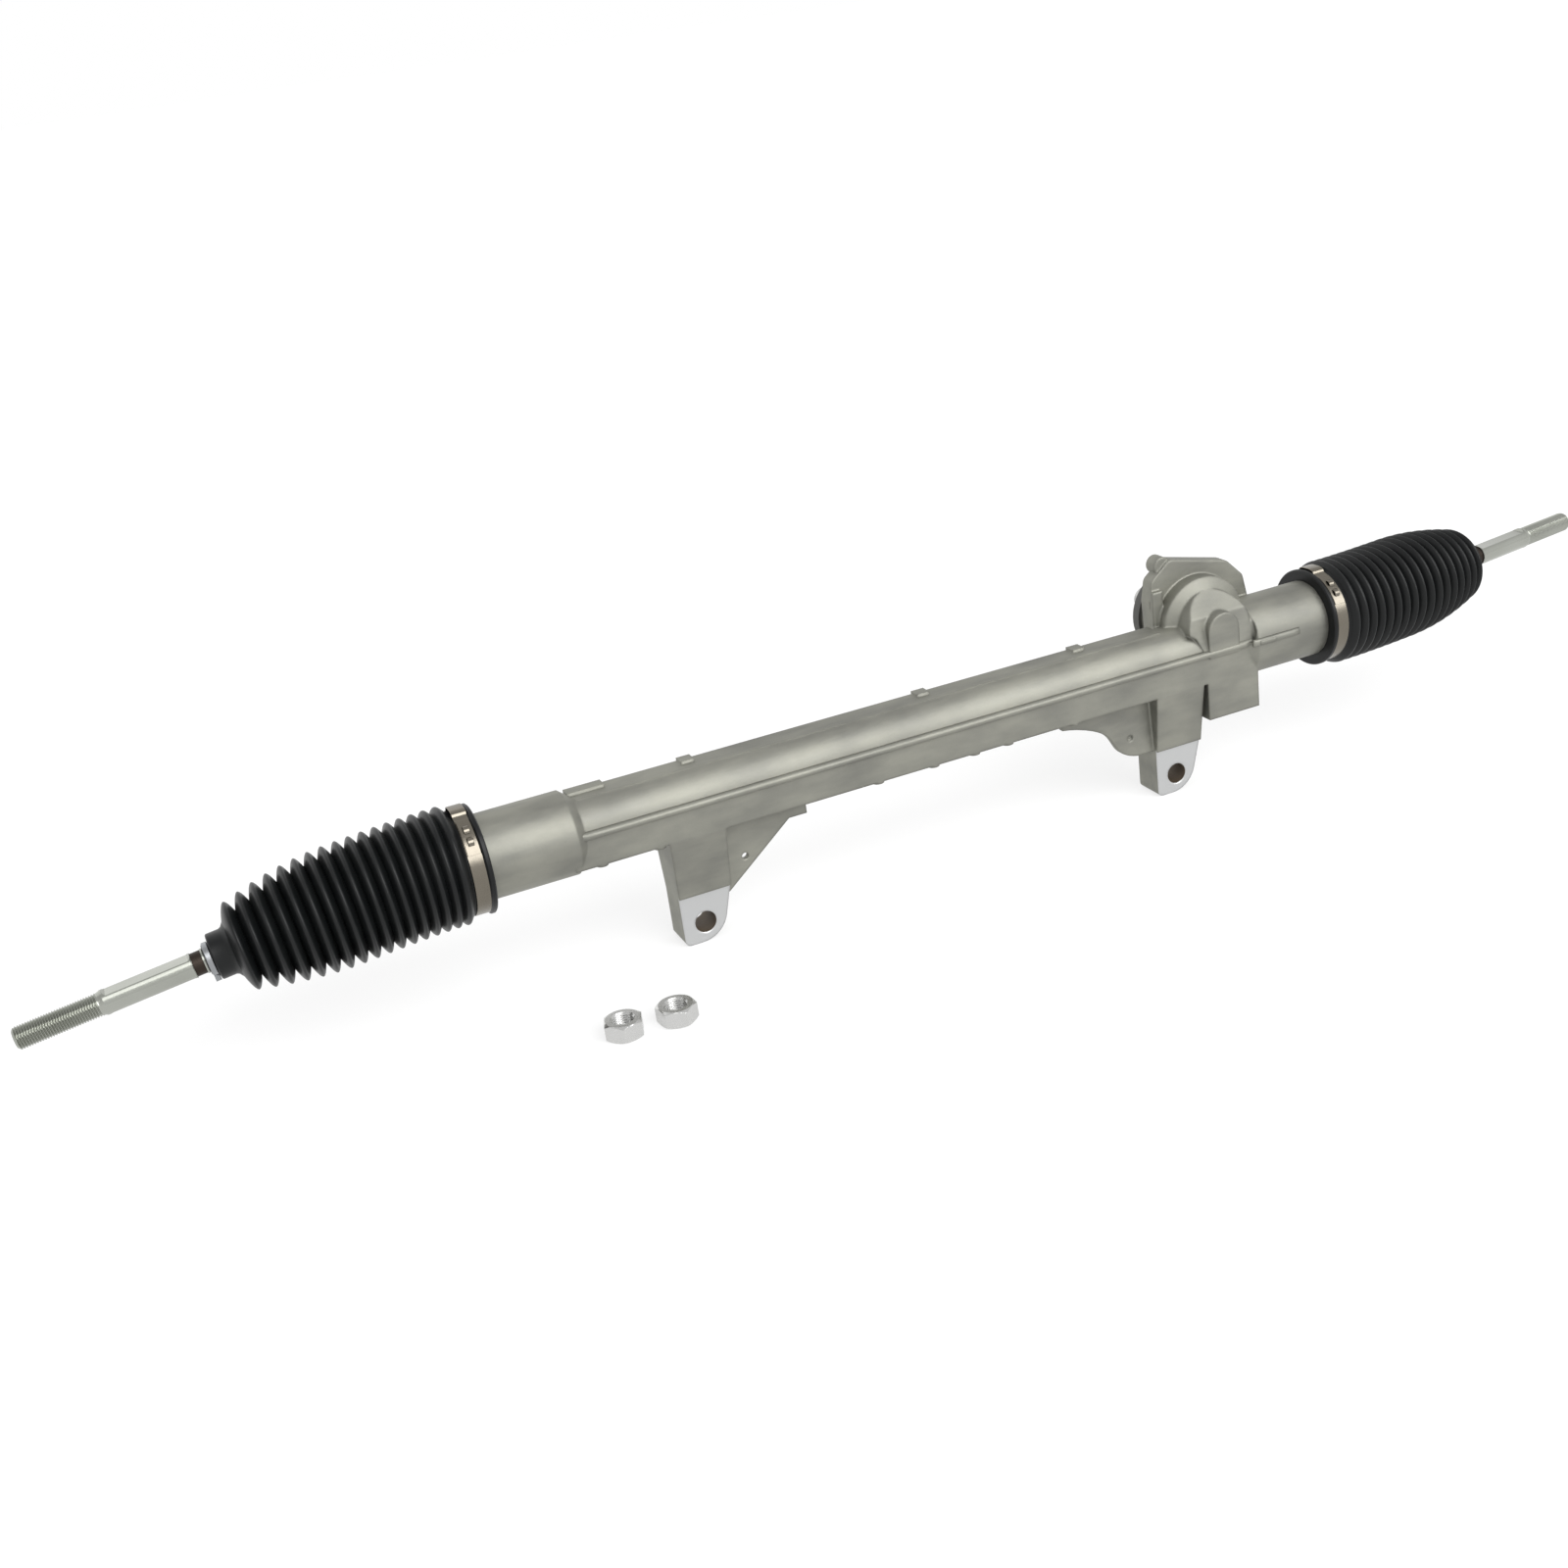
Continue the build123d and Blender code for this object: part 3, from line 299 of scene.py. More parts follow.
@dataclass(frozen=True)
class Moulding:
    """Finish of a moulded plastic or rubber piece."""

    name: str
    colour: Colour
    shade: Colour
    roughness: float
    specular: float = 0.5
    grain: Noise = Noise(1400.0, 3.0)
    bloom: Noise = Noise(60.0, 4.0)
    grain_roughness: float = 0.1
    bloom_roughness: float = 0.2
    relief_strength: float = 0.3
    relief_depth: float = 0.08 * MM

    def material(self) -> bpy.types.Material:
        """Make the plastic or rubber, with a faint moulded grain and a dusty bloom.

        Returns:
            The material.
        """
        bench = Bench(bpy.data.materials.new(self.name))
        grain, bloom = bench.noise(self.grain), bench.noise(self.bloom)
        dusty = bloom.sway(self.bloom_roughness) + grain.sway(self.grain_roughness)
        return bench.shade({
            "Base Color": bench.mix(bloom, self.colour, self.shade),
            "Roughness": dusty + self.roughness, "Specular IOR Level": self.specular,
            "Normal": bench.bumped(grain, self.relief_strength, self.relief_depth),
        })


@dataclass(frozen=True)
class CastAluminium:
    """Finish of the die-cast housing, with its machined lug faces and painted shade on the walls
    of its mounting holes.
    """

    name: str = "cast_aluminium"
    dull: Colour = (0.205, 0.205, 0.183)
    pale: Colour = (0.285, 0.284, 0.247)
    milled: Colour = (0.51, 0.515, 0.515)
    # Dark brown for the mounting holes' walls: painted shade in the holes.
    hole_shade: Colour = (0.10, 0.075, 0.05)
    cloud: Noise = Noise(28.0, 5.0, (0.7, 1.0, 1.0))
    flow: Noise = Noise(130.0, 4.0, (0.25, 1.0, 1.0))
    grit: Noise = Noise(1500.0, 3.0)
    streak: Noise = Noise(900.0, 3.0, (0.08, 1.0, 1.0))
    pore_scale: float = 420.0
    cloud_contrast: float = 2.6
    flow_contrast: float = 1.6
    cast_roughness: float = 0.56
    grit_roughness: float = 0.12
    flow_roughness: float = 0.16
    milled_roughness: float = 0.36
    streak_roughness: float = 0.2
    metallic: float = 0.86
    # Metallic taken off on the mounting holes' walls, as part of their painted shade.
    hole_shade_metal_loss: float = 0.5
    grit_relief: float = 0.35
    flow_relief: float = 0.5
    pore_relief: float = 0.3
    streak_relief: float = 0.12
    relief_strength: float = 0.5
    relief_depth: float = 0.25 * MM
    edge_radius: float = 2.6 * MM
    edge_samples: int = 8
    face_band: float = 0.15 * MM
    pad_height: float = 21.0 * MM
    hole_radius: float = 7.35 * MM
    hole_places: tuple[float, float] = (-176.0 * MM, 176.0 * MM)

    def on_pads(self, y: Signal, z: Signal) -> Signal:
        """One on the machined pads at the lugs' front, zero elsewhere."""
        return (abs(y) < self.face_band) * (z < self.pad_height)

    def in_hole(self, across: Signal, z: Signal) -> Signal:
        """One on the wall of a mounting hole, whose axis is where both values are zero."""
        return (across * across + z * z).maths("SQRT") < self.hole_radius

    def material(self) -> bpy.types.Material:
        """Make the satin, slightly mottled metal of the casting.

        Returns:
            The material.
        """
        bench = Bench(bpy.data.materials.new(self.name))
        x, y, z = bench.parts(bench.place())
        pad = self.on_pads(y, z)
        rest = 1 - pad
        hole = sum(self.in_hole(x - place, z) for place in self.hole_places)
        cloud, flow = bench.noise(self.cloud), bench.noise(self.flow)
        grit, streak = bench.noise(self.grit), bench.noise(self.streak)
        pores = bench.add("ShaderNodeTexVoronoi", {"feature": "F1"}, {
            "Vector": bench.place(), "Scale": self.pore_scale,
        })
        mottle = cloud.sway(self.cloud_contrast) + flow.sway(self.flow_contrast) + NOISE_MEAN
        mottle = bench.add("ShaderNodeClamp", inputs={"Value": mottle})
        colour = bench.mix(mottle, self.dull, self.pale)
        colour = bench.mix(pad, colour, self.milled)
        # Painted shade: the walls of the mounting holes are darkened and made less metallic.
        colour = bench.mix(hole * rest, colour, self.hole_shade)
        rough_cast = grit.sway(self.grit_roughness) + flow.sway(self.flow_roughness)
        rough_milled = streak.sway(self.streak_roughness) + self.milled_roughness
        roughness = (rough_cast + self.cast_roughness) * rest + rough_milled * pad
        high_cast = grit * self.grit_relief + flow * self.flow_relief + pores * self.pore_relief
        height = high_cast * rest + streak * self.streak_relief * pad
        soft = bench.add("ShaderNodeBevel", {"samples": self.edge_samples}, {
            "Radius": self.edge_radius,
        })
        return bench.shade({
            "Base Color": colour, "Metallic": self.metallic - hole * self.hole_shade_metal_loss,
            "Roughness": roughness,
            "Normal": bench.bumped(height, self.relief_strength, self.relief_depth, soft),
        })


BELLOWS_RUBBER = Moulding(
    "bellows_rubber", (0.004, 0.0045, 0.005), (0.007, 0.008, 0.008), 0.38, specular=0.24)
PLATED_FORGING = Metal(
    "plated_forging", (0.42, 0.43, 0.395), (0.3, 0.31, 0.275), 0.2, Grain.TURNED, fine_scale=300.0)
# Dark brown band in the tie rod's second groove.
DARK_GROOVE = Metal(
    "dark_groove", (0.05, 0.04, 0.033), (0.032, 0.026, 0.022), 0.5, Grain.EVEN)
STAINLESS_BAND = Metal(
    "stainless_band", (0.23, 0.21, 0.175), (0.15, 0.135, 0.11), 0.25, Grain.EVEN)
CLIP_PLATE = Metal("clip_plate", (0.34, 0.35, 0.36), (0.25, 0.26, 0.27), 0.3, Grain.EVEN)
NUT_PLATE = Metal("nut_plate", (0.66, 0.66, 0.65), (0.52, 0.52, 0.51), 0.27, Grain.EVEN)


@dataclass
class Skin:
    """Points and faces of one piece, gathered shell by shell."""

    name: str
    points: list[Vector] = field(default_factory=list)
    faces: list[tuple[int, ...]] = field(default_factory=list)
    marks: list[int] = field(default_factory=list)

    def shell(self, rings: Sequence[Sequence[Vector]], loop: bool = False,
              mark: Callable[[int], int] = lambda step: 0) -> "Skin":
        """Add one closed shell through rings of equal counts.

        Args:
            rings: Points of each ring, in turn.
            loop: Whether the last ring joins the first; else both ends are capped.
            mark: Material number for the strip after each ring.

        Returns:
            This skin.
        """
        start = len(self.points)
        count = len(rings[0])
        for ring in rings:
            self.points.extend(ring)
        steps = len(rings) if loop else len(rings) - 1
        for step in range(steps):
            first = start + step * count
            second = start + (step + 1) % len(rings) * count
            for index in range(count):
                after = (index + 1) % count
                self.faces.append((first + index, first + after, second + after, second + index))
                self.marks.append(mark(step))
        if not loop:
            last = start + (len(rings) - 1) * count
            self.faces.append(tuple(reversed(range(start, start + count))))
            self.faces.append(tuple(range(last, last + count)))
            self.marks.extend((mark(0), mark(steps - 1)))
        return self

    def build(self, finishes: Sequence[bpy.types.Material], sharp: float) -> bpy.types.Object:
        """Make the mesh and its object.

        Args:
            finishes: Materials in the order of their numbers.
            sharp: Angle in degrees from which an edge is drawn sharp.

        Returns:
            The new object.
        """
        mesh = bpy.data.meshes.new(self.name)
        mesh.from_pydata([tuple(point) for point in self.points], [], self.faces)
        for finish in finishes:
            mesh.materials.append(finish)
        mesh.polygons.foreach_set("material_index", self.marks)
        work = bmesh.new()
        work.from_mesh(mesh)
        bmesh.ops.recalc_face_normals(work, faces=work.faces)
        work.to_mesh(mesh)
        work.free()
        mesh.shade_smooth()
        mesh.set_sharp_from_angle(angle=math.radians(sharp))
        piece = bpy.data.objects.new(self.name, mesh)
        bpy.context.scene.collection.objects.link(piece)
        return piece


@dataclass(frozen=True)
class Spindle:
    """A straight axis with a plane across it, on which round forms are drawn."""

    origin: Vector
    axis: Vector
    first: Vector

    @property
    def second(self) -> Vector:
        """Direction across the axis, square to the first."""
        return self.axis.cross(self.first)

    def point(self, place: float, u: float, v: float) -> Vector:
        """Point at a place along the axis, off it by u and v."""
        return self.origin + self.axis * place + self.first * u + self.second * v

    def ring(self, place: float, radius: Callable[[float], float] | float,
             count: int = 96) -> list[Vector]:
        """Draw a ring round the axis.

        Args:
            place: Place along the axis.
            radius: Radius of the ring, or a function that gives it for an angle in radians.
            count: Number of points.

        Returns:
            The points.
        """
        points = []
        for index in range(count):
            angle = 2 * math.pi * index / count
            reach = radius(angle) if callable(radius) else radius
            points.append(self.point(place, reach * math.cos(angle), reach * math.sin(angle)))
        return points

    def strip(self, path: Sequence[tuple[float, float]], place: float, width: float,
              thickness: float, loop: bool = False) -> list[list[Vector]]:
        """Draw a flat strip that follows a path across the axis.

        Args:
            path: Places of the strip's middle, as u and v.
            place: Place of the strip's first edge along the axis.
            width: Width of the strip along the axis.
            thickness: Thickness of the strip.
            loop: Whether the path closes on itself.

        Returns:
            One ring of eight points for each place of the path.
        """
        rings = []
        soft = thickness * STRIP_ROUNDING
        half = thickness / 2
        outline = (
            (soft, -half), (width - soft, -half), (width, -half + soft), (width, half - soft),
            (width - soft, half), (soft, half), (0.0, half - soft), (0.0, -half + soft),
        )
        total = len(path)
        for index, (u, v) in enumerate(path):
            before = path[index - 1] if index or loop else path[0]
            after = path[(index + 1) % total] if index + 1 < total or loop else path[-1]
            run = Vector((after[0] - before[0], after[1] - before[1])).normalized()
            rings.append([self.point(place + a, u + run.y * b, v - run.x * b) for a, b in outline])
        return rings


@dataclass(frozen=True)
class Side:
    """One end of the rack, with its tie rod's tilt at rest in degrees."""

    name: str
    sign: int
    pitch: float
    yaw: float
    ball_place: float = 355.0 * MM

    @property
    def ball(self) -> Vector:
        """Centre of the inner ball joint."""
        return RACK_CENTRE + ALONG * self.sign * self.ball_place

    @property
    def rod_direction(self) -> Vector:
        """Tilt the rack's outward direction by the rod's pitch, then by its yaw.

        Returns:
            Direction of the tie rod, away from the rack.
        """
        pitch, yaw = math.radians(self.pitch), math.radians(self.yaw)
        seat = ALONG * self.sign * math.cos(pitch) + UP * math.sin(pitch)
        return seat * math.cos(yaw) + BACK * math.sin(yaw)

    @property
    def rod_spindle(self) -> Spindle:
        """Axis of the tie rod, from its ball's centre."""
        direction = self.rod_direction
        return Spindle(self.ball, direction, direction.cross(UP).normalized().cross(direction))

    @property
    def tube_spindle(self) -> Spindle:
        """Axis of the rack, outward from its middle."""
        return Spindle(RACK_CENTRE, ALONG * self.sign, UP)

    def body(self, part: str) -> str:
        """Name of this side's seat or rod body."""
        return f"{self.name}_{part}"


SIDES = (Side("left", -1, -7.4, 0.9), Side("right", 1, -0.3, 10.6))
# Folds by which the slide, the pitch and the yaw are complete. The right rod yaws farther, so
# its stretches end earlier.
BELLOWS_STRETCHES = {"left": (11, 13, 16), "right": (10, 11, 15)}


@dataclass
class BendLine:
    """The bellows' middle line, from the tube's end round the ball to the collar."""

    start: Vector
    corner: Vector
    end: Vector
    samples: int = 240

    def __post_init__(self) -> None:
        """Measure the line, so that shares of its length can be found."""
        self.places = [0.0]
        last = self.start
        for index in range(1, self.samples + 1):
            point = self.at(index / self.samples)
            self.places.append(self.places[-1] + (point - last).length)
            last = point

    @property
    def length(self) -> float:
        """Length of the whole line."""
        return self.places[-1]

    def at(self, t: float) -> Vector:
        """Point of the curve at its own parameter."""
        return self.start * (1 - t) ** 2 + self.corner * 2 * t * (1 - t) + self.end * t ** 2

    def spindle(self, share: float) -> Spindle:
        """Find the axis that points along the line.

        Args:
            share: Share of the line's length, from its start.

        Returns:
            The axis through the line's point there.
        """
        target = min(max(share, 0.0), 1.0) * self.length
        index = min(bisect.bisect_right(self.places, target), self.samples) - 1
        step = self.places[index + 1] - self.places[index]
        t = (index + (target - self.places[index]) / step) / self.samples
        run = ((self.corner - self.start) * (1 - t) + (self.end - self.corner) * t).normalized()
        return Spindle(self.at(t), run, run.cross(UP).normalized().cross(run))


@dataclass(frozen=True)
class Stretch:
    """Folds between two bodies, counted from the cuff, whose motion is complete at one fold."""

    label: str
    first: int
    full: int
    last: int
    before: str
    after: str
    run: Vector


@dataclass
class Bellows:
    """Rubber bellows: lip and cuff on the tube, three stretches of folds, collar on the rod."""

    side: Side
    finish: bpy.types.Material
    slide_folds: int
    pitch_folds: int
    yaw_folds: int
    tube_radius: float = 26.5 * MM
    lip_place: float = 300.0 * MM
    lip_thickness: float = 3.5 * MM
    lip_radius: float = 34.0 * MM
    cuff_radius: float = 32.0 * MM
    cuff_length: float = 14.5 * MM
    cuff_rounding: float = 0.8 * MM
    folds: int = 17
    peak_radius: float = 36.6 * MM
    end_radius: float = 26.0 * MM
    depth_inboard: float = 3.0 * MM
    depth_outboard: float = 8.8 * MM
    depth_power: float = 0.8
    round_power: float = 1.1
    point_power: float = 1.7
    growth: float = 0.226
    taper_share: float = 0.45
    cone_share: float = 0.018
    wall: float = 1.6 * MM
    rings_a_fold: int = 12
    collar_start: float = 98.0 * MM
    collar_length: float = 9.0 * MM
    collar_radius: float = 14.0 * MM
    collar_rounding: float = 0.7 * MM
    neck_length: float = 4.5 * MM
    neck_radius: float = 9.05 * MM
    bore_radius: float = 6.45 * MM

    def __post_init__(self) -> None:
        """Draw the middle line."""
        tube_end = self.side.tube_spindle.point(self.lip_place + self.cuff_length, 0, 0)
        rod_place = self.side.rod_spindle.point(self.collar_start, 0, 0)
        self.line = BendLine(tube_end, self.side.ball, rod_place)

    def line_share(self, place: float) -> float:
        """Share of the middle line at a place counted in folds, which grow longer outward."""
        share = place / self.folds
        return share * (1 + self.growth * share) / (1 + self.growth) * (1 - self.cone_share)

    def fold_radius(self, place: float) -> float:
        """Find the outer radius of the folds, rounder inboard and more pointed outboard.

        Args:
            place: Place counted in folds from the cuff.

        Returns:
            The radius.
        """
        share = place / self.folds
        taper = max((share - (1 - self.taper_share)) / self.taper_share, 0)
        peak = self.peak_radius - (self.peak_radius - self.end_radius) * taper ** 2
        deeper = (self.depth_outboard - self.depth_inboard) * share ** self.depth_power
        inside = place % 1
        rounded = math.sin(math.pi * inside) ** self.round_power
        pointed = 1 - abs(2 * inside - 1) ** self.point_power
        wave = rounded * (1 - share) + pointed * share
        return peak - (self.depth_inboard + deeper) * (1 - wave)

    def fold_rings(self, first: int, last: int) -> list[list[Vector]]:
        """Draw a stretch of folds as a thin wall.

        Args:
            first: Fold at which it starts.
            last: Fold at which it ends.

        Returns:
            The outer rings outward, then the inner rings back.
        """
        outer = []
        inner = []
        for step in range((last - first) * self.rings_a_fold + 1):
            place = first + step / self.rings_a_fold
            spindle = self.line.spindle(self.line_share(place))
            radius = self.fold_radius(place)
            outer.append(spindle.ring(0, radius))
            inner.append(spindle.ring(0, radius - self.wall))
        return outer + inner[::-1]

    def make_cuff(self) -> bpy.types.Object:
        """Make the lip and the cuff, pressed on the tube's end.

        Returns:
            The piece.
        """
        spindle = self.side.tube_spindle
        lip_end = self.lip_place + self.lip_thickness
        end = self.lip_place + self.cuff_length
        soft = self.cuff_rounding
        profile = (
            (self.lip_place, self.tube_radius), (self.lip_place, self.lip_radius - soft),
            (self.lip_place + soft, self.lip_radius), (lip_end - soft, self.lip_radius),
            (lip_end, self.lip_radius - soft), (lip_end + soft, self.cuff_radius),
            (end - 2 * soft, self.cuff_radius), (end - soft, self.cuff_radius + soft / 2),
            (end, self.fold_radius(0)), (end, self.tube_radius),
        )
        rings = [spindle.ring(place, radius) for place, radius in profile]
        skin = Skin(f"{self.side.name}_bellows_cuff").shell(rings, loop=True)
        cuff = skin.build([self.finish], sharp=35)
        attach(cuff, "housing")
        return self.finished(cuff)

    def stretches(self) -> tuple[Stretch, ...]:
        """List the folds that slide, those that tilt and those that swing.

        Returns:
            The three stretches, from the cuff outward.
        """
        slide, pitch, yaw = self.slide_folds, self.pitch_folds, self.yaw_folds
        seat, rod = self.side.body("seat"), self.side.body("rod")
        along, outward = ALONG * self.side.sign, self.side.rod_direction
        return (
            Stretch("slide", 0, slide, slide, "housing", "rack", along),
            Stretch("tilt", slide, pitch, pitch, "rack", seat, outward),
            Stretch("swing", pitch, yaw, self.folds, seat, rod, outward),
        )

    def make_folds(self, stretch: Stretch) -> bpy.types.Object:
        """Make one stretch of folds between its two bodies.

        Args:
            stretch: Folds and bodies of the stretch.

        Returns:
            The piece.
        """
        rings = self.fold_rings(stretch.first, stretch.last)
        skin = Skin(f"{self.side.name}_bellows_{stretch.label}").shell(rings, loop=True)
        piece = skin.build([self.finish], sharp=60)
        ball, run = self.side.ball, stretch.run
        done = rings[(stretch.full - stretch.first) * self.rings_a_fold]
        near = max((point - ball).dot(run) for point in rings[0])
        far = min((point - ball).dot(run) for point in done)
        ball + run * near
        ball + run * far
        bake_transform(piece)
        return self.finished(piece)

    def make_collar(self) -> bpy.types.Object:
        """Make the closing cone, the collar and the clip's neck, which move with the rod.

        Returns:
            The piece.
        """
        cone = self.line.spindle(1 - self.cone_share)
        rod = self.side.rod_spindle
        start, end = self.collar_start, self.collar_start + self.collar_length
        soft = self.collar_rounding
        tip = end + self.neck_length
        profile = (
            (start - soft, self.collar_radius + soft), (start + soft, self.collar_radius),
            (end - soft, self.collar_radius), (end, self.collar_radius - soft),
            (end + soft / 3, self.neck_radius), (tip - soft / 2, self.neck_radius),
            (tip - soft / 4, self.neck_radius - soft / 2), (tip - soft / 4, self.bore_radius),
            (start, self.bore_radius),
        )
        last_fold = self.fold_radius(self.folds)
        rings = [cone.ring(0, last_fold)]
        rings += [rod.ring(place, radius) for place, radius in profile]
        rings.append(cone.ring(0, last_fold - self.wall))
        skin = Skin(f"{self.side.name}_bellows_collar").shell(rings, loop=True)
        collar = skin.build([self.finish], sharp=35)
        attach(collar, self.side.body("rod"))
        return self.finished(collar)

    def finished(self, piece: bpy.types.Object) -> bpy.types.Object:
        """Hide the imported bellows, which the piece stands in for.

        Args:
            piece: Cuff, stretch of folds or collar.

        Returns:
            The same piece.
        """
        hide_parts(f"{self.side.name}_bellows")
        return piece

    def build(self) -> list[bpy.types.Object]:
        """Make the bellows from the cuff outward.

        Returns:
            The cuff, the stretches of folds and the collar.
        """
        pieces = [self.make_cuff()]
        pieces += [self.make_folds(stretch) for stretch in self.stretches()]
        pieces.append(self.make_collar())
        return pieces


@dataclass(frozen=True)
class Thread:
    """A metric screw thread."""

    pitch: float = 1.5 * MM
    crest: float = 7.0 * MM
    root: float = 6.12 * MM
    steps: int = 12

    @property
    def depth(self) -> float:
        """Depth from the crest to the root."""
        return self.crest - self.root

    def depth_share(self, place: float, angle: float) -> float:
        """Share of the thread's depth, zero on the crest and one in the root."""
        turn = place / self.pitch * 2 * math.pi - angle
        return 0.5 - 0.5 * math.cos(turn)


@dataclass
class TieRod:
    """Forged and plated inner tie rod: ball, grooves, wrench flats and threaded end."""

    side: Side
    steel: bpy.types.Material
    dark: bpy.types.Material
    thread: Thread = Thread()
    ball_radius: float = 14.0 * MM
    ball_steps: int = 18
    neck_radius: float = 6.2 * MM
    neck_length: float = 32.0 * MM
    neck_taper: float = 8.0 * MM
    radius: float = 7.6 * MM
    seat_groove: tuple[float, float] = (98.0 * MM, 111.5 * MM)
    seat_groove_radius: float = 6.4 * MM
    ring_groove: tuple[float, float] = (113.0 * MM, 119.0 * MM)
    ring_groove_radius: float = 7.0 * MM
    groove_edge: float = 0.3 * MM
    flats: tuple[float, float] = (120.0 * MM, 169.0 * MM)
    flats_width: float = 11.6 * MM
    flats_run_out: float = 2.4 * MM
    run_out_steps: int = 6
    thread_start: float = 172.2 * MM
    thread_shoulder: float = 1.2 * MM
    thread_fade_turns: int = 2
    length: float = 221.5 * MM
    chamfer: float = 1.6 * MM
    centre_radius: float = 2.2 * MM
    centre_depth: float = 2.0 * MM
    centre_point: float = 0.2 * MM
    segments: int = 96

    def profile(self) -> list[tuple[float, float]]:
        """List the round forms from the ball to the second groove.

        Returns:
            Places along the rod, with the radius at each.
        """
        neck_angle = math.asin(self.neck_radius / self.ball_radius)
        places = []
        for step in range(1, self.ball_steps + 1):
            angle = math.pi - step / self.ball_steps * (math.pi - neck_angle)
            places.append((self.ball_radius * math.cos(angle), self.ball_radius * math.sin(angle)))
        places.append((self.neck_length, self.neck_radius))
        places.append((self.neck_length + self.neck_taper, self.radius))
        for (start, end), low in ((self.seat_groove, self.seat_groove_radius),
                                  (self.ring_groove, self.ring_groove_radius)):
            places += [(start - self.groove_edge, self.radius), (start, low),
                       (end, low), (end + self.groove_edge, self.radius)]
        return places

    def flat_rings(self, spindle: Spindle) -> list[list[Vector]]:
        """Draw the stretch with two milled flats, with run-outs at both ends.

        Args:
            spindle: Axis of the rod.

        Returns:
            Its rings.
        """
        start, end = self.flats
        half = self.flats_width / 2
        levels = []
        for step in range(self.run_out_steps + 1):
            share = step / self.run_out_steps
            lift = (self.radius - half) * (1 - math.sin(share * math.pi / 2))
            levels.append((start + (share - 0.5) * self.flats_run_out, half + lift))
        levels += [(start + end - place, low) for place, low in reversed(levels)]
        return [spindle.ring(place, self.flatted(low), self.segments) for place, low in levels]

    def flatted(self, low: float) -> Callable[[float], float]:
        """Find the section of the round bar, cut flat on both sides.

        Args:
            low: Distance of the flats from the axis.

        Returns:
            A function that gives the radius at an angle.
        """
        def reach(angle: float) -> float:
            """Radius of the bar or, where it is nearer, of the flat."""
            across = abs(math.cos(angle))
            return low / across if self.radius * across > low else self.radius
        return reach

    def thread_rings(self, spindle: Spindle) -> list[list[Vector]]:
        """Draw the threaded end, from its run-out to the chamfered tip.

        Args:
            spindle: Axis of the rod.

        Returns:
            Its rings.
        """
        step = self.thread.pitch / self.thread.steps
        count = int((self.length - self.thread_start) / step)
        fade_length = self.thread_fade_turns * self.thread.pitch
        rings = []
        for index in range(count + 1):
            place = self.thread_start + index * step
            depth = self.thread.depth * min((place - self.thread_start) / fade_length, 1.0)
            limit = self.thread.crest - max(place - (self.length - self.chamfer), 0.0)

            def reach(angle: float, place: float = place, depth: float = depth,
                      limit: float = limit) -> float:
                """Radius of the thread at an angle, inside the chamfer."""
                cut = self.thread.depth_share(place, angle) * depth
                return min(self.thread.crest - cut, limit)
            rings.append(spindle.ring(place, reach, self.segments))
        return rings

    def tip_rings(self, spindle: Spindle) -> list[list[Vector]]:
        """Draw the flat tip with its centre hole.

        Args:
            spindle: Axis of the rod.

        Returns:
            Its rings.
        """
        profile = (
            (self.length, self.thread.crest - self.chamfer), (self.length, self.centre_radius),
            (self.length - self.centre_depth, self.centre_point),
        )
        return [spindle.ring(place, radius, self.segments) for place, radius in profile]

    def build(self) -> list[bpy.types.Object]:
        """Make the rod as one closed skin, with the second groove dark.

        Returns:
            The one piece.
        """
        name = f"{self.side.name}_tie_rod"
        spindle = self.side.rod_spindle
        profile = self.profile()
        rings = [spindle.ring(place, radius, self.segments) for place, radius in profile]
        rings += self.flat_rings(spindle)
        shoulder = self.thread_start - self.thread_shoulder
        rings.append(spindle.ring(shoulder, self.radius, self.segments))
        rings += self.thread_rings(spindle) + self.tip_rings(spindle)
        groove = profile.index((self.ring_groove[0], self.ring_groove_radius))
        # The groove's near wall, its floor and its far wall
        dark = range(groove - 1, groove + 2)
        skin = Skin(f"{name}_forging").shell(rings, mark=lambda step: int(step in dark))
        rod = skin.build([self.steel, self.dark], sharp=35)
        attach(rod, self.side.body("rod"))
        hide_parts(name)
        return [rod]


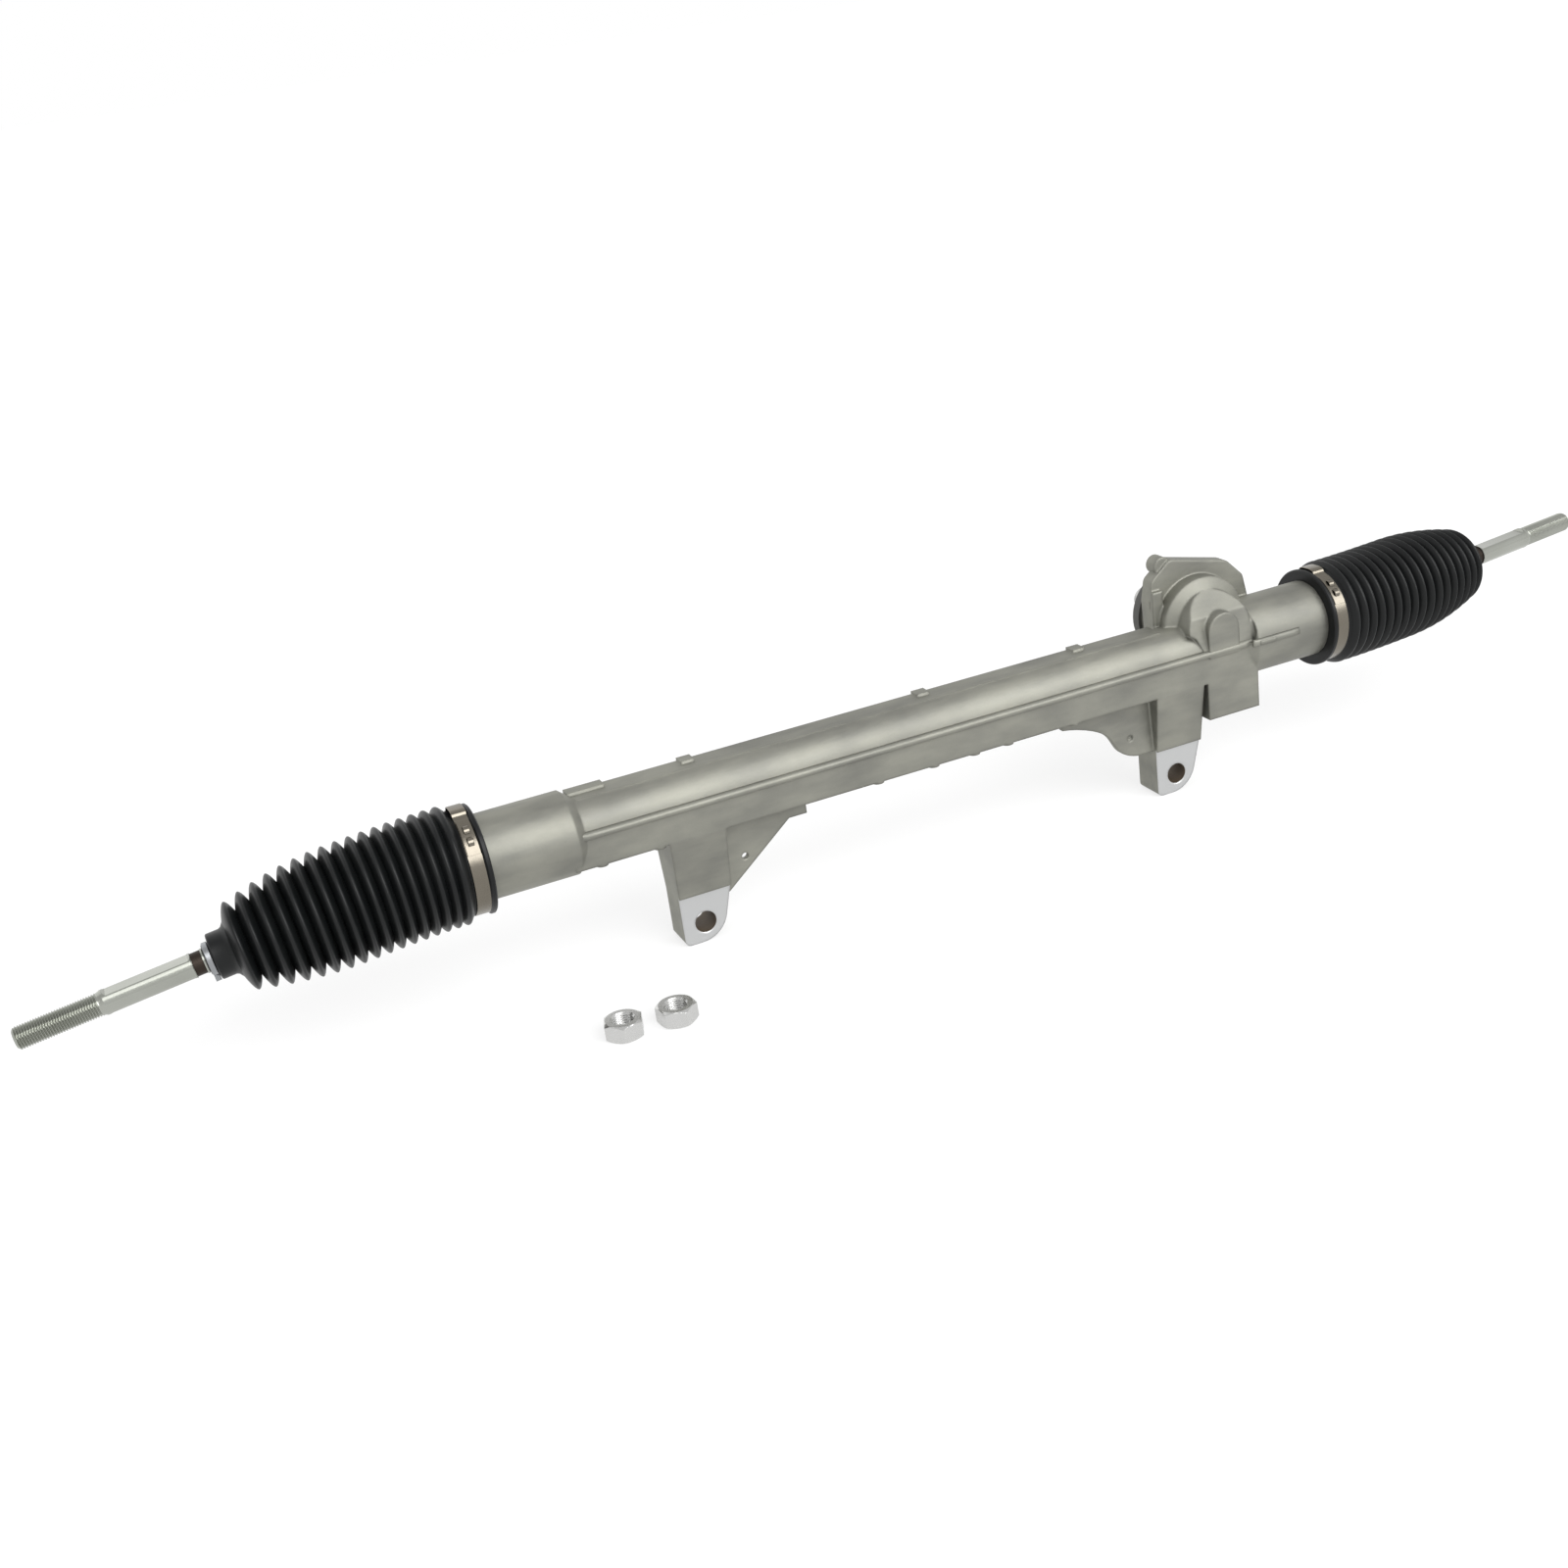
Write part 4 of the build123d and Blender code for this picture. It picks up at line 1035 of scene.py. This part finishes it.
@dataclass
class BandClamp:
    """Stainless band with a crimped ear, an overlapping tongue and two hooks.

    Angles are in degrees from the top towards the front, and the ear's outline is given as
    angles with shares of its height.
    """

    side: Side
    steel: bpy.types.Material
    start: float = 303.5 * MM
    width: float = 9.0 * MM
    inner_radius: float = 32.0 * MM
    thickness: float = 0.7 * MM
    band_step: int = 2
    ear_outline: tuple[tuple[float, float], ...] = (
        (-22.0, 0.0), (-17.5, 0.05), (-15.5, 0.35), (-14.5, 0.7), (-12.0, 0.95), (-8.0, 1.0),
        (3.0, 1.0), (7.5, 0.95), (10.0, 0.7), (11.0, 0.35), (13.0, 0.05), (18.0, 0.0),
    )
    ear_height: float = 2.6 * MM
    tongue: tuple[float, float] = (21.0, 62.0)
    tongue_steps: int = 20
    tongue_inset: float = 0.4 * MM
    hooks: tuple[float, float] = (34.0, 48.0)
    hook_span: float = 4.5
    hook_height: float = 1.3 * MM
    hook_width: float = 3.6 * MM
    hook_power: float = 0.6
    hook_steps: int = 6

    @property
    def front_sign(self) -> int:
        """Sign of the spindle's second direction that points to the front."""
        return 1 if self.side.tube_spindle.second.dot(BACK) < 0 else -1

    def on_band(self, angle: float, height: float) -> tuple[float, float]:
        """Find a place over the band's middle line.

        Args:
            angle: Angle from the top towards the front.
            height: Height over the middle of the band's thickness.

        Returns:
            The place as u and v across the axis.
        """
        radius = self.inner_radius + self.thickness / 2 + height
        turn = math.radians(angle)
        return radius * math.cos(turn), radius * math.sin(turn) * self.front_sign

    def band_path(self) -> list[tuple[float, float]]:
        """Follow the band round, with the ear standing up at the top.

        Returns:
            Places of the band's middle line.
        """
        first = int(self.ear_outline[-1][0]) + self.band_step
        last = 360 + int(self.ear_outline[0][0]) - self.band_step
        ear = [self.on_band(angle, share * self.ear_height) for angle, share in self.ear_outline]
        return ear + [self.on_band(angle, 0) for angle in range(first, last + 1, self.band_step)]

    def tongue_path(self) -> list[tuple[float, float]]:
        """Follow the tongue, which laps over the band.

        Returns:
            Places of the tongue's middle line.
        """
        first, last = self.tongue
        shares = [step / self.tongue_steps for step in range(self.tongue_steps + 1)]
        return [self.on_band(first + (last - first) * share, self.thickness) for share in shares]

    def hook_path(self, angle: float) -> list[tuple[float, float]]:
        """Follow a hook, which arches up out of the tongue.

        Args:
            angle: Angle of the hook's middle.

        Returns:
            Places of the hook's middle line.
        """
        path = []
        tongue_face = self.thickness + self.thickness / 2
        for step in range(self.hook_steps + 1):
            share = step / self.hook_steps
            rise = math.sin(share * math.pi) ** self.hook_power * self.hook_height
            turn = angle + (2 * share - 1) * self.hook_span
            path.append(self.on_band(turn, tongue_face + rise))
        return path

    def build(self) -> list[bpy.types.Object]:
        """Make the band with its tongue and hooks.

        Returns:
            The one piece.
        """
        name = f"{self.side.name}_band_clamp"
        skin = Skin(f"{name}_strip")
        strip = self.side.tube_spindle.strip
        band = strip(self.band_path(), self.start, self.width, self.thickness, loop=True)
        skin.shell(band, loop=True)
        inset = self.tongue_inset
        skin.shell(strip(
            self.tongue_path(), self.start + inset, self.width - 2 * inset, self.thickness))
        edge = self.start + (self.width - self.hook_width) / 2
        for angle in self.hooks:
            skin.shell(strip(self.hook_path(angle), edge, self.hook_width, self.thickness))
        clamp = skin.build([self.steel], sharp=30)
        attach(clamp, "housing")
        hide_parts(name)
        return [clamp]


@dataclass
class SpringClip:
    """Spring clip round the bellows' neck, with its two ears below."""

    side: Side
    steel: bpy.types.Material
    start: float = 107.65 * MM
    width: float = 3.2 * MM
    inner_radius: float = 9.15 * MM
    thickness: float = 1.0 * MM
    gap_angle: float = 9.0
    steps: int = 72
    ear_length: float = 4.4 * MM
    ear_spread: float = 0.5
    ear_shares: tuple[float, ...] = (0.15, 0.4, 0.7, 1.0)

    def ear(self, u: float, v: float) -> list[tuple[float, float]]:
        """Follow an ear down from the ring's end.

        Args:
            u: Height of the ring's end over the axis.
            v: Place of the ring's end beside the axis.

        Returns:
            Places of the ear's middle line, outward.
        """
        return [(u - self.ear_length * share, v * (1 + self.ear_spread * share))
                for share in self.ear_shares]

    def build(self) -> list[bpy.types.Object]:
        """Make the clip as one bent strip.

        Returns:
            The one piece.
        """
        middle = self.inner_radius + self.thickness / 2
        turn = 360 - 2 * self.gap_angle
        ring = []
        for step in range(self.steps + 1):
            angle = math.radians(180 + self.gap_angle + turn * step / self.steps)
            ring.append((middle * math.cos(angle), middle * math.sin(angle)))
        path = self.ear(*ring[0])[::-1] + ring + self.ear(*ring[-1])
        name = f"{self.side.name}_spring_clip"
        strip = self.side.rod_spindle.strip(path, self.start, self.width, self.thickness)
        clip = Skin(f"{name}_strip").shell(strip).build([self.steel], sharp=40)
        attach(clip, self.side.body("rod"))
        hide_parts(name)
        return [clip]


@dataclass
class JamNuts:
    """Two loose hexagon nuts with chamfered corners and a real thread."""

    steel: bpy.types.Material
    places: tuple[tuple[float, float], ...] = (
        (-260.0 * MM, -78.5 * MM), (-228.0 * MM, -81.6 * MM),
    )
    turns: tuple[float, float] = (12.0, 40.0)
    base: float = -13.6 * MM
    height: float = 11.0 * MM
    across_flats: float = 22.0 * MM
    face_radius: float = 10.4 * MM
    chamfer_angle: float = 30.0
    chamfer_lifts: tuple[float, ...] = (
        0.0, 0.25 * MM, 0.5 * MM, 0.75 * MM, 1.0 * MM, 1.3 * MM, 1.7 * MM,
    )
    hole_mouth: float = 7.3 * MM
    thread: Thread = Thread(root=6.3 * MM)
    segments: int = 120

    def outside(self, lift: float, turn: float) -> Callable[[float], float]:
        """Find the section of the hexagon inside its chamfer.

        Args:
            lift: Height over the nearer face.
            turn: Angle of the nut about its axis, in radians.

        Returns:
            A function that gives the radius at an angle.
        """
        limit = self.face_radius + lift / math.tan(math.radians(self.chamfer_angle))

        def reach(angle: float) -> float:
            """Radius of the hexagon or, where it is nearer, of the chamfer."""
            corner = (angle - turn) % SIXTH_TURN - SIXTH_TURN / 2
            return min(self.across_flats / 2 / math.cos(corner), limit)
        return reach

    def outside_rings(self, spindle: Spindle, turn: float) -> list[list[Vector]]:
        """Draw the outside, from the lower face up.

        Args:
            spindle: Axis of the nut.
            turn: Angle of the nut about its axis, in radians.

        Returns:
            Its rings.
        """
        levels = [(lift, lift) for lift in self.chamfer_lifts]
        levels += [(self.height - lift, lift) for lift in reversed(self.chamfer_lifts)]
        return [spindle.ring(level, self.outside(lift, turn), self.segments)
                for level, lift in levels]

    def hole_rings(self, spindle: Spindle) -> list[list[Vector]]:
        """Draw the threaded hole, from the top face down.

        Args:
            spindle: Axis of the nut.

        Returns:
            Its rings.
        """
        rings = []
        count = int(self.height / self.thread.pitch * self.thread.steps)
        for index in range(count + 1):
            place = self.height - index * self.height / count
            mouth = self.hole_mouth - min(place, self.height - place)

            def reach(angle: float, place: float = place, mouth: float = mouth) -> float:
                """Radius of the thread, outside its chamfered mouth."""
                cut = self.thread.depth_share(place, -angle)
                return max(self.thread.crest - self.thread.depth * cut, mouth)
            rings.append(spindle.ring(place, reach, self.segments))
        return rings

    def build(self) -> list[bpy.types.Object]:
        """Make both nuts.

        Returns:
            The two pieces.
        """
        nuts = []
        for name, (x, y), turn in zip(("left", "right"), self.places, self.turns):
            spindle = Spindle(Vector((x, y, self.base)), UP, ALONG)
            rings = self.outside_rings(spindle, math.radians(turn)) + self.hole_rings(spindle)
            nut = Skin(f"{name}_jam_nut").shell(rings, loop=True).build([self.steel], sharp=25)
            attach(nut, "housing")
            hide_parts("jam_nuts")
            nuts.append(nut)
        return nuts


@dataclass
class PartingRib:
    """Raised parting line along the housing's front, run out at both ends.

    The section's upper slope holds shares of the way out and of the way down, its lower edge
    shares of the way back in and of the way up, and its buried edge shares of the height.
    """

    name: str
    finish: bpy.types.Material
    reach: tuple[float, float]
    radius: float
    lift: float = 2.6 * MM
    low: float = 0.8 * MM
    high: float = 5.9 * MM
    upper_slope: tuple[tuple[float, float], ...] = (
        (0.0, 0.0), (0.45, 0.1), (0.85, 0.24), (1.0, 0.42),
    )
    lower_edge: tuple[tuple[float, float], ...] = ((0.0, 0.2), (0.3, 0.06), (1.0, 0.0))
    buried_edge: tuple[float, float] = (0.2, 0.1)
    buried_depth: float = 1.5 * MM
    run_out: float = 7.0 * MM
    end_share: float = 0.1
    steps: int = 48

    def outline(self, share: float) -> list[tuple[float, float]]:
        """Draw the section.

        Args:
            share: Share of the full lift.

        Returns:
            Places as y and z from the rack's axis.
        """
        foot = math.sqrt(self.radius ** 2 - self.high ** 2)
        raised = self.lift * share
        face = self.radius + raised
        inside = self.radius - self.buried_depth
        span = self.high - self.low
        top, bottom = self.buried_edge
        slope = [(-(foot + (face - foot) * out), self.high - down * span)
                 for out, down in self.upper_slope]
        edge = [(-(face - raised * back), self.low + up * span) for back, up in self.lower_edge]
        buried_top = (-inside, self.high - top * span)
        buried_bottom = (-inside, self.low + bottom * span)
        return [buried_top, *slope, *edge, buried_bottom]

    def build(self) -> list[bpy.types.Object]:
        """Make the rib as one closed skin.

        Returns:
            The one piece.
        """
        first, last = self.reach
        rings = []
        for step in range(self.steps + 1):
            x = first + (last - first) * step / self.steps
            share = max(min((x - first) / self.run_out, (last - x) / self.run_out, 1.0), 0.0)
            rise = self.end_share + (1 - self.end_share) * math.sin(share * math.pi / 2)
            rings.append([RACK_CENTRE + ALONG * x + BACK * y + UP * z
                          for y, z in self.outline(rise)])
        rib = Skin(self.name).shell(rings).build([self.finish], sharp=50)
        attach(rib, "housing")
        return [rib]


@dataclass
class Works:
    """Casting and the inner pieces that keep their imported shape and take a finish."""

    nodes: dict[str, bpy.types.Object]
    casting: CastAluminium = CastAluminium()
    bright: Metal = Metal(
        "ground_steel", (0.62, 0.62, 0.61), (0.5, 0.5, 0.49), 0.24, Grain.TURNED)
    pinion: Metal = Metal(
        "machined_steel", (0.5, 0.5, 0.49), (0.4, 0.4, 0.39), 0.3, Grain.TURNED)
    zinc: Metal = Metal(
        "zinc_plate", (0.72, 0.72, 0.69), (0.6, 0.61, 0.58), 0.28, Grain.EVEN)
    spring: Metal = Metal(
        "blackened_steel", (0.09, 0.09, 0.09), (0.05, 0.05, 0.05), 0.42, Grain.EVEN)
    phosphate: Metal = Metal(
        "phosphated_steel", (0.14, 0.14, 0.13), (0.08, 0.08, 0.08), 0.55, Grain.EVEN)
    yoke: Metal = Metal(
        "turned_aluminium", (0.7, 0.7, 0.69), (0.58, 0.58, 0.57), 0.32, Grain.TURNED)
    balls: Metal = Metal(
        "polished_balls", (0.8, 0.8, 0.8), (0.66, 0.66, 0.65), 0.1, Grain.EVEN)
    nylon: Moulding = Moulding("black_nylon", (0.02, 0.02, 0.02), (0.035, 0.035, 0.035), 0.5)
    liner: Moulding = Moulding("pale_liner", (0.62, 0.58, 0.47), (0.5, 0.47, 0.38), 0.45)
    seat: Moulding = Moulding("white_acetal", (0.74, 0.74, 0.7), (0.62, 0.62, 0.58), 0.4)
    seal: Moulding = Moulding("seal_rubber", (0.016, 0.016, 0.016), (0.03, 0.03, 0.03), 0.55)
    # Dark grey rather than black, so that the cap's rim beside the flange passes for the flange's
    # shaded side: partly the cap's own rubber, partly painted shade.
    cap: Moulding = Moulding("cap_rubber", (0.075, 0.075, 0.07), (0.1, 0.1, 0.095), 0.7)

    def finishes(self) -> dict[str, CastAluminium | Metal | Moulding]:
        """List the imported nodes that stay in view.

        Returns:
            The finish of each node.
        """
        return {
            "rack_housing": self.casting, "rack_bar": self.bright, "rack_bush": self.nylon,
            "pinion_shaft": self.pinion, "needle_bush": self.bright,
            "bearing_outer_race": self.bright, "bearing_inner_race": self.bright,
            "bearing_ball_set": self.balls, "snap_ring": self.spring,
            "retaining_nut": self.zinc, "pinion_seal": self.seal, "dust_cap": self.cap,
            "rack_yoke": self.yoke, "yoke_liner": self.liner, "yoke_ring": self.seal,
            "disc_springs": self.spring, "yoke_plug": self.zinc,
            "left_lock_washer": self.spring, "right_lock_washer": self.spring,
            "left_ball_housing": self.phosphate, "right_ball_housing": self.phosphate,
            "left_ball_seat": self.seat, "right_ball_seat": self.seat,
        }

    def build(self) -> dict[str, bpy.types.Material]:
        """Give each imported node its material.

        Returns:
            The material of each node.
        """
        made = {finish: finish.material() for finish in dict.fromkeys(self.finishes().values())}
        dressed = {node: made[finish] for node, finish in self.finishes().items()}
        for node, material in dressed.items():
            mesh = self.nodes[node].data
            mesh.materials.clear()
            mesh.materials.append(material)
        return dressed


@dataclass(frozen=True)
class Lamp:
    """Large far lamp that lights the whole floor alike.

    Its direction points from the gear to the lamp, its spread is the angle in degrees that it
    fills in the sky, and its strength is the light on a surface that faces it.
    """

    name: str
    direction: tuple[float, float, float]
    spread: float
    strength: float

    def build(self) -> None:
        """Hang the lamp."""
        data = bpy.data.lights.new(self.name, "SUN")
        data.angle = math.radians(self.spread)
        data.energy = self.strength
        lamp = bpy.data.objects.new(self.name, data)
        lamp.rotation_euler = Vector(self.direction).to_track_quat("Z", "Y").to_euler()
        bpy.context.scene.collection.objects.link(lamp)


@dataclass
class Studio:
    """Pale floor, soft lamps, sky and the camera of the photograph."""

    floor_height: float = -13.6 * MM
    floor_size: float = 60.0
    floor_grey: float = 0.94
    floor_white_share: float = 0.72
    sky_band: tuple[float, float] = (0.25, 0.8)
    sky_low: float = 1.0
    sky_high: float = 0.75
    lamps: tuple[Lamp, ...] = (
        Lamp("key_lamp", (0.32, -0.72, 0.61), 44.0, 2.15),
        Lamp("left_lamp", (-0.12, -0.62, 0.78), 30.0, 0.35),
        Lamp("rear_lamp", (-0.3, 0.75, 0.6), 60.0, 0.35),
    )
    camera_place: tuple[float, float, float] = (-494.5 * MM, -1021.2 * MM, 535.3 * MM)
    camera_right: tuple[float, float, float] = (0.90762, -0.39921, -0.12984)
    camera_up: tuple[float, float, float] = (0.26701, 0.31032, 0.91236)
    focal_pixels: float = 1934.25
    image_width: float = 1600.0
    sensor_width: float = 36.0
    clip_end: float = 100.0

    def floor_material(self) -> bpy.types.Material:
        """Make the floor's white, which the camera sees brighter than the light on it.

        Returns:
            The material.
        """
        bench = Bench(bpy.data.materials.new("studio_floor"))
        grey = (self.floor_grey, self.floor_grey, self.floor_grey, 1.0)
        shadowed = bench.add("ShaderNodeBsdfDiffuse", inputs={"Color": grey})
        white = bench.add("ShaderNodeEmission", inputs={"Color": WHITE, "Strength": 1.0})
        path = bench.add("ShaderNodeLightPath", output="Is Camera Ray")
        seen = path
        for kind in ("Is Glossy Ray", "Is Transmission Ray"):
            seen = seen.maths("MAXIMUM", path.sibling(kind))
        both = bench.add("ShaderNodeMixShader", inputs={
            0: seen * self.floor_white_share, 1: shadowed, 2: white,
        })
        bench.add("ShaderNodeOutputMaterial", inputs={"Surface": both}, output=None)
        return bench.owner

    def make_floor(self) -> None:
        """Pale plane on which the gear lies."""
        half = self.floor_size / 2
        corners = [(x * half, y * half, self.floor_height)
                   for x, y in ((-1, -1), (1, -1), (1, 1), (-1, 1))]
        mesh = bpy.data.meshes.new("studio_floor")
        mesh.from_pydata(corners, [], [(0, 1, 2, 3)])
        mesh.materials.append(self.floor_material())
        floor = bpy.data.objects.new("studio_floor", mesh)
        bpy.context.scene.collection.objects.link(floor)

    def make_sky(self) -> None:
        """Sky that is pale at the horizon and greyer overhead."""
        world = bpy.data.worlds.new("studio_sky")
        bpy.context.scene.world = world
        bench = Bench(world)
        height = bench.parts(bench.add("ShaderNodeTexCoord", output="Generated"))[2]
        lowest, highest = self.sky_band
        strength = bench.add("ShaderNodeMapRange", {"interpolation_type": "SMOOTHSTEP"}, {
            "Value": height, "From Min": lowest, "From Max": highest,
            "To Min": self.sky_low, "To Max": self.sky_high,
        })
        sky = bench.add("ShaderNodeBackground", inputs={"Color": WHITE, "Strength": strength})
        bench.add("ShaderNodeOutputWorld", inputs={"Surface": sky}, output=None)

    def make_camera(self) -> None:
        """Camera at the photograph's place."""
        data = bpy.data.cameras.new("camera")
        data.sensor_width = self.sensor_width
        data.lens = self.focal_pixels / self.image_width * self.sensor_width
        data.clip_end = self.clip_end
        camera = bpy.data.objects.new("camera", data)
        right, up = Vector(self.camera_right).normalized(), Vector(self.camera_up).normalized()
        away = right.cross(up)
        axes = Matrix((right, up, away)).transposed().to_4x4()
        camera.matrix_world = Matrix.Translation(Vector(self.camera_place)) @ axes
        bpy.context.scene.collection.objects.link(camera)
        bpy.context.scene.camera = camera

    def build(self) -> None:
        """Set up the whole studio."""
        bpy.context.scene.view_settings.view_transform = "Standard"
        self.make_floor()
        self.make_sky()
        for lamp in self.lamps:
            lamp.build()
        self.make_camera()


def main() -> None:
    """Build the gear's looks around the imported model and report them."""
    logging.basicConfig(level=logging.INFO, format="%(message)s")
    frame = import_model()
    dressed = Works(frame["nodes"]).build()
    for node in dressed:
        LOG.info("dressed %s", node)
    cast = dressed["rack_housing"]
    assemblies = [
        PartingRib("middle_rib", cast, reach=(-249.0 * MM, 243.0 * MM), radius=21.5 * MM),
        PartingRib("end_rib", cast, reach=(238.0 * MM, 276.0 * MM), radius=26.5 * MM,
                   lift=1.4 * MM),
    ]
    rubber = BELLOWS_RUBBER.material()
    forging, groove = PLATED_FORGING.material(), DARK_GROOVE.material()
    stainless, clip_plate = STAINLESS_BAND.material(), CLIP_PLATE.material()
    for side in SIDES:
        assemblies += [
            Bellows(side, rubber, *BELLOWS_STRETCHES[side.name]), TieRod(side, forging, groove),
            BandClamp(side, stainless), SpringClip(side, clip_plate),
        ]
    assemblies.append(JamNuts(NUT_PLATE.material()))
    for assembly in assemblies:
        for piece in assembly.build():
            LOG.info("built %s", piece.name)
    Studio().build()
    LOG.info("built studio")


if __name__ == "__main__":
    main()
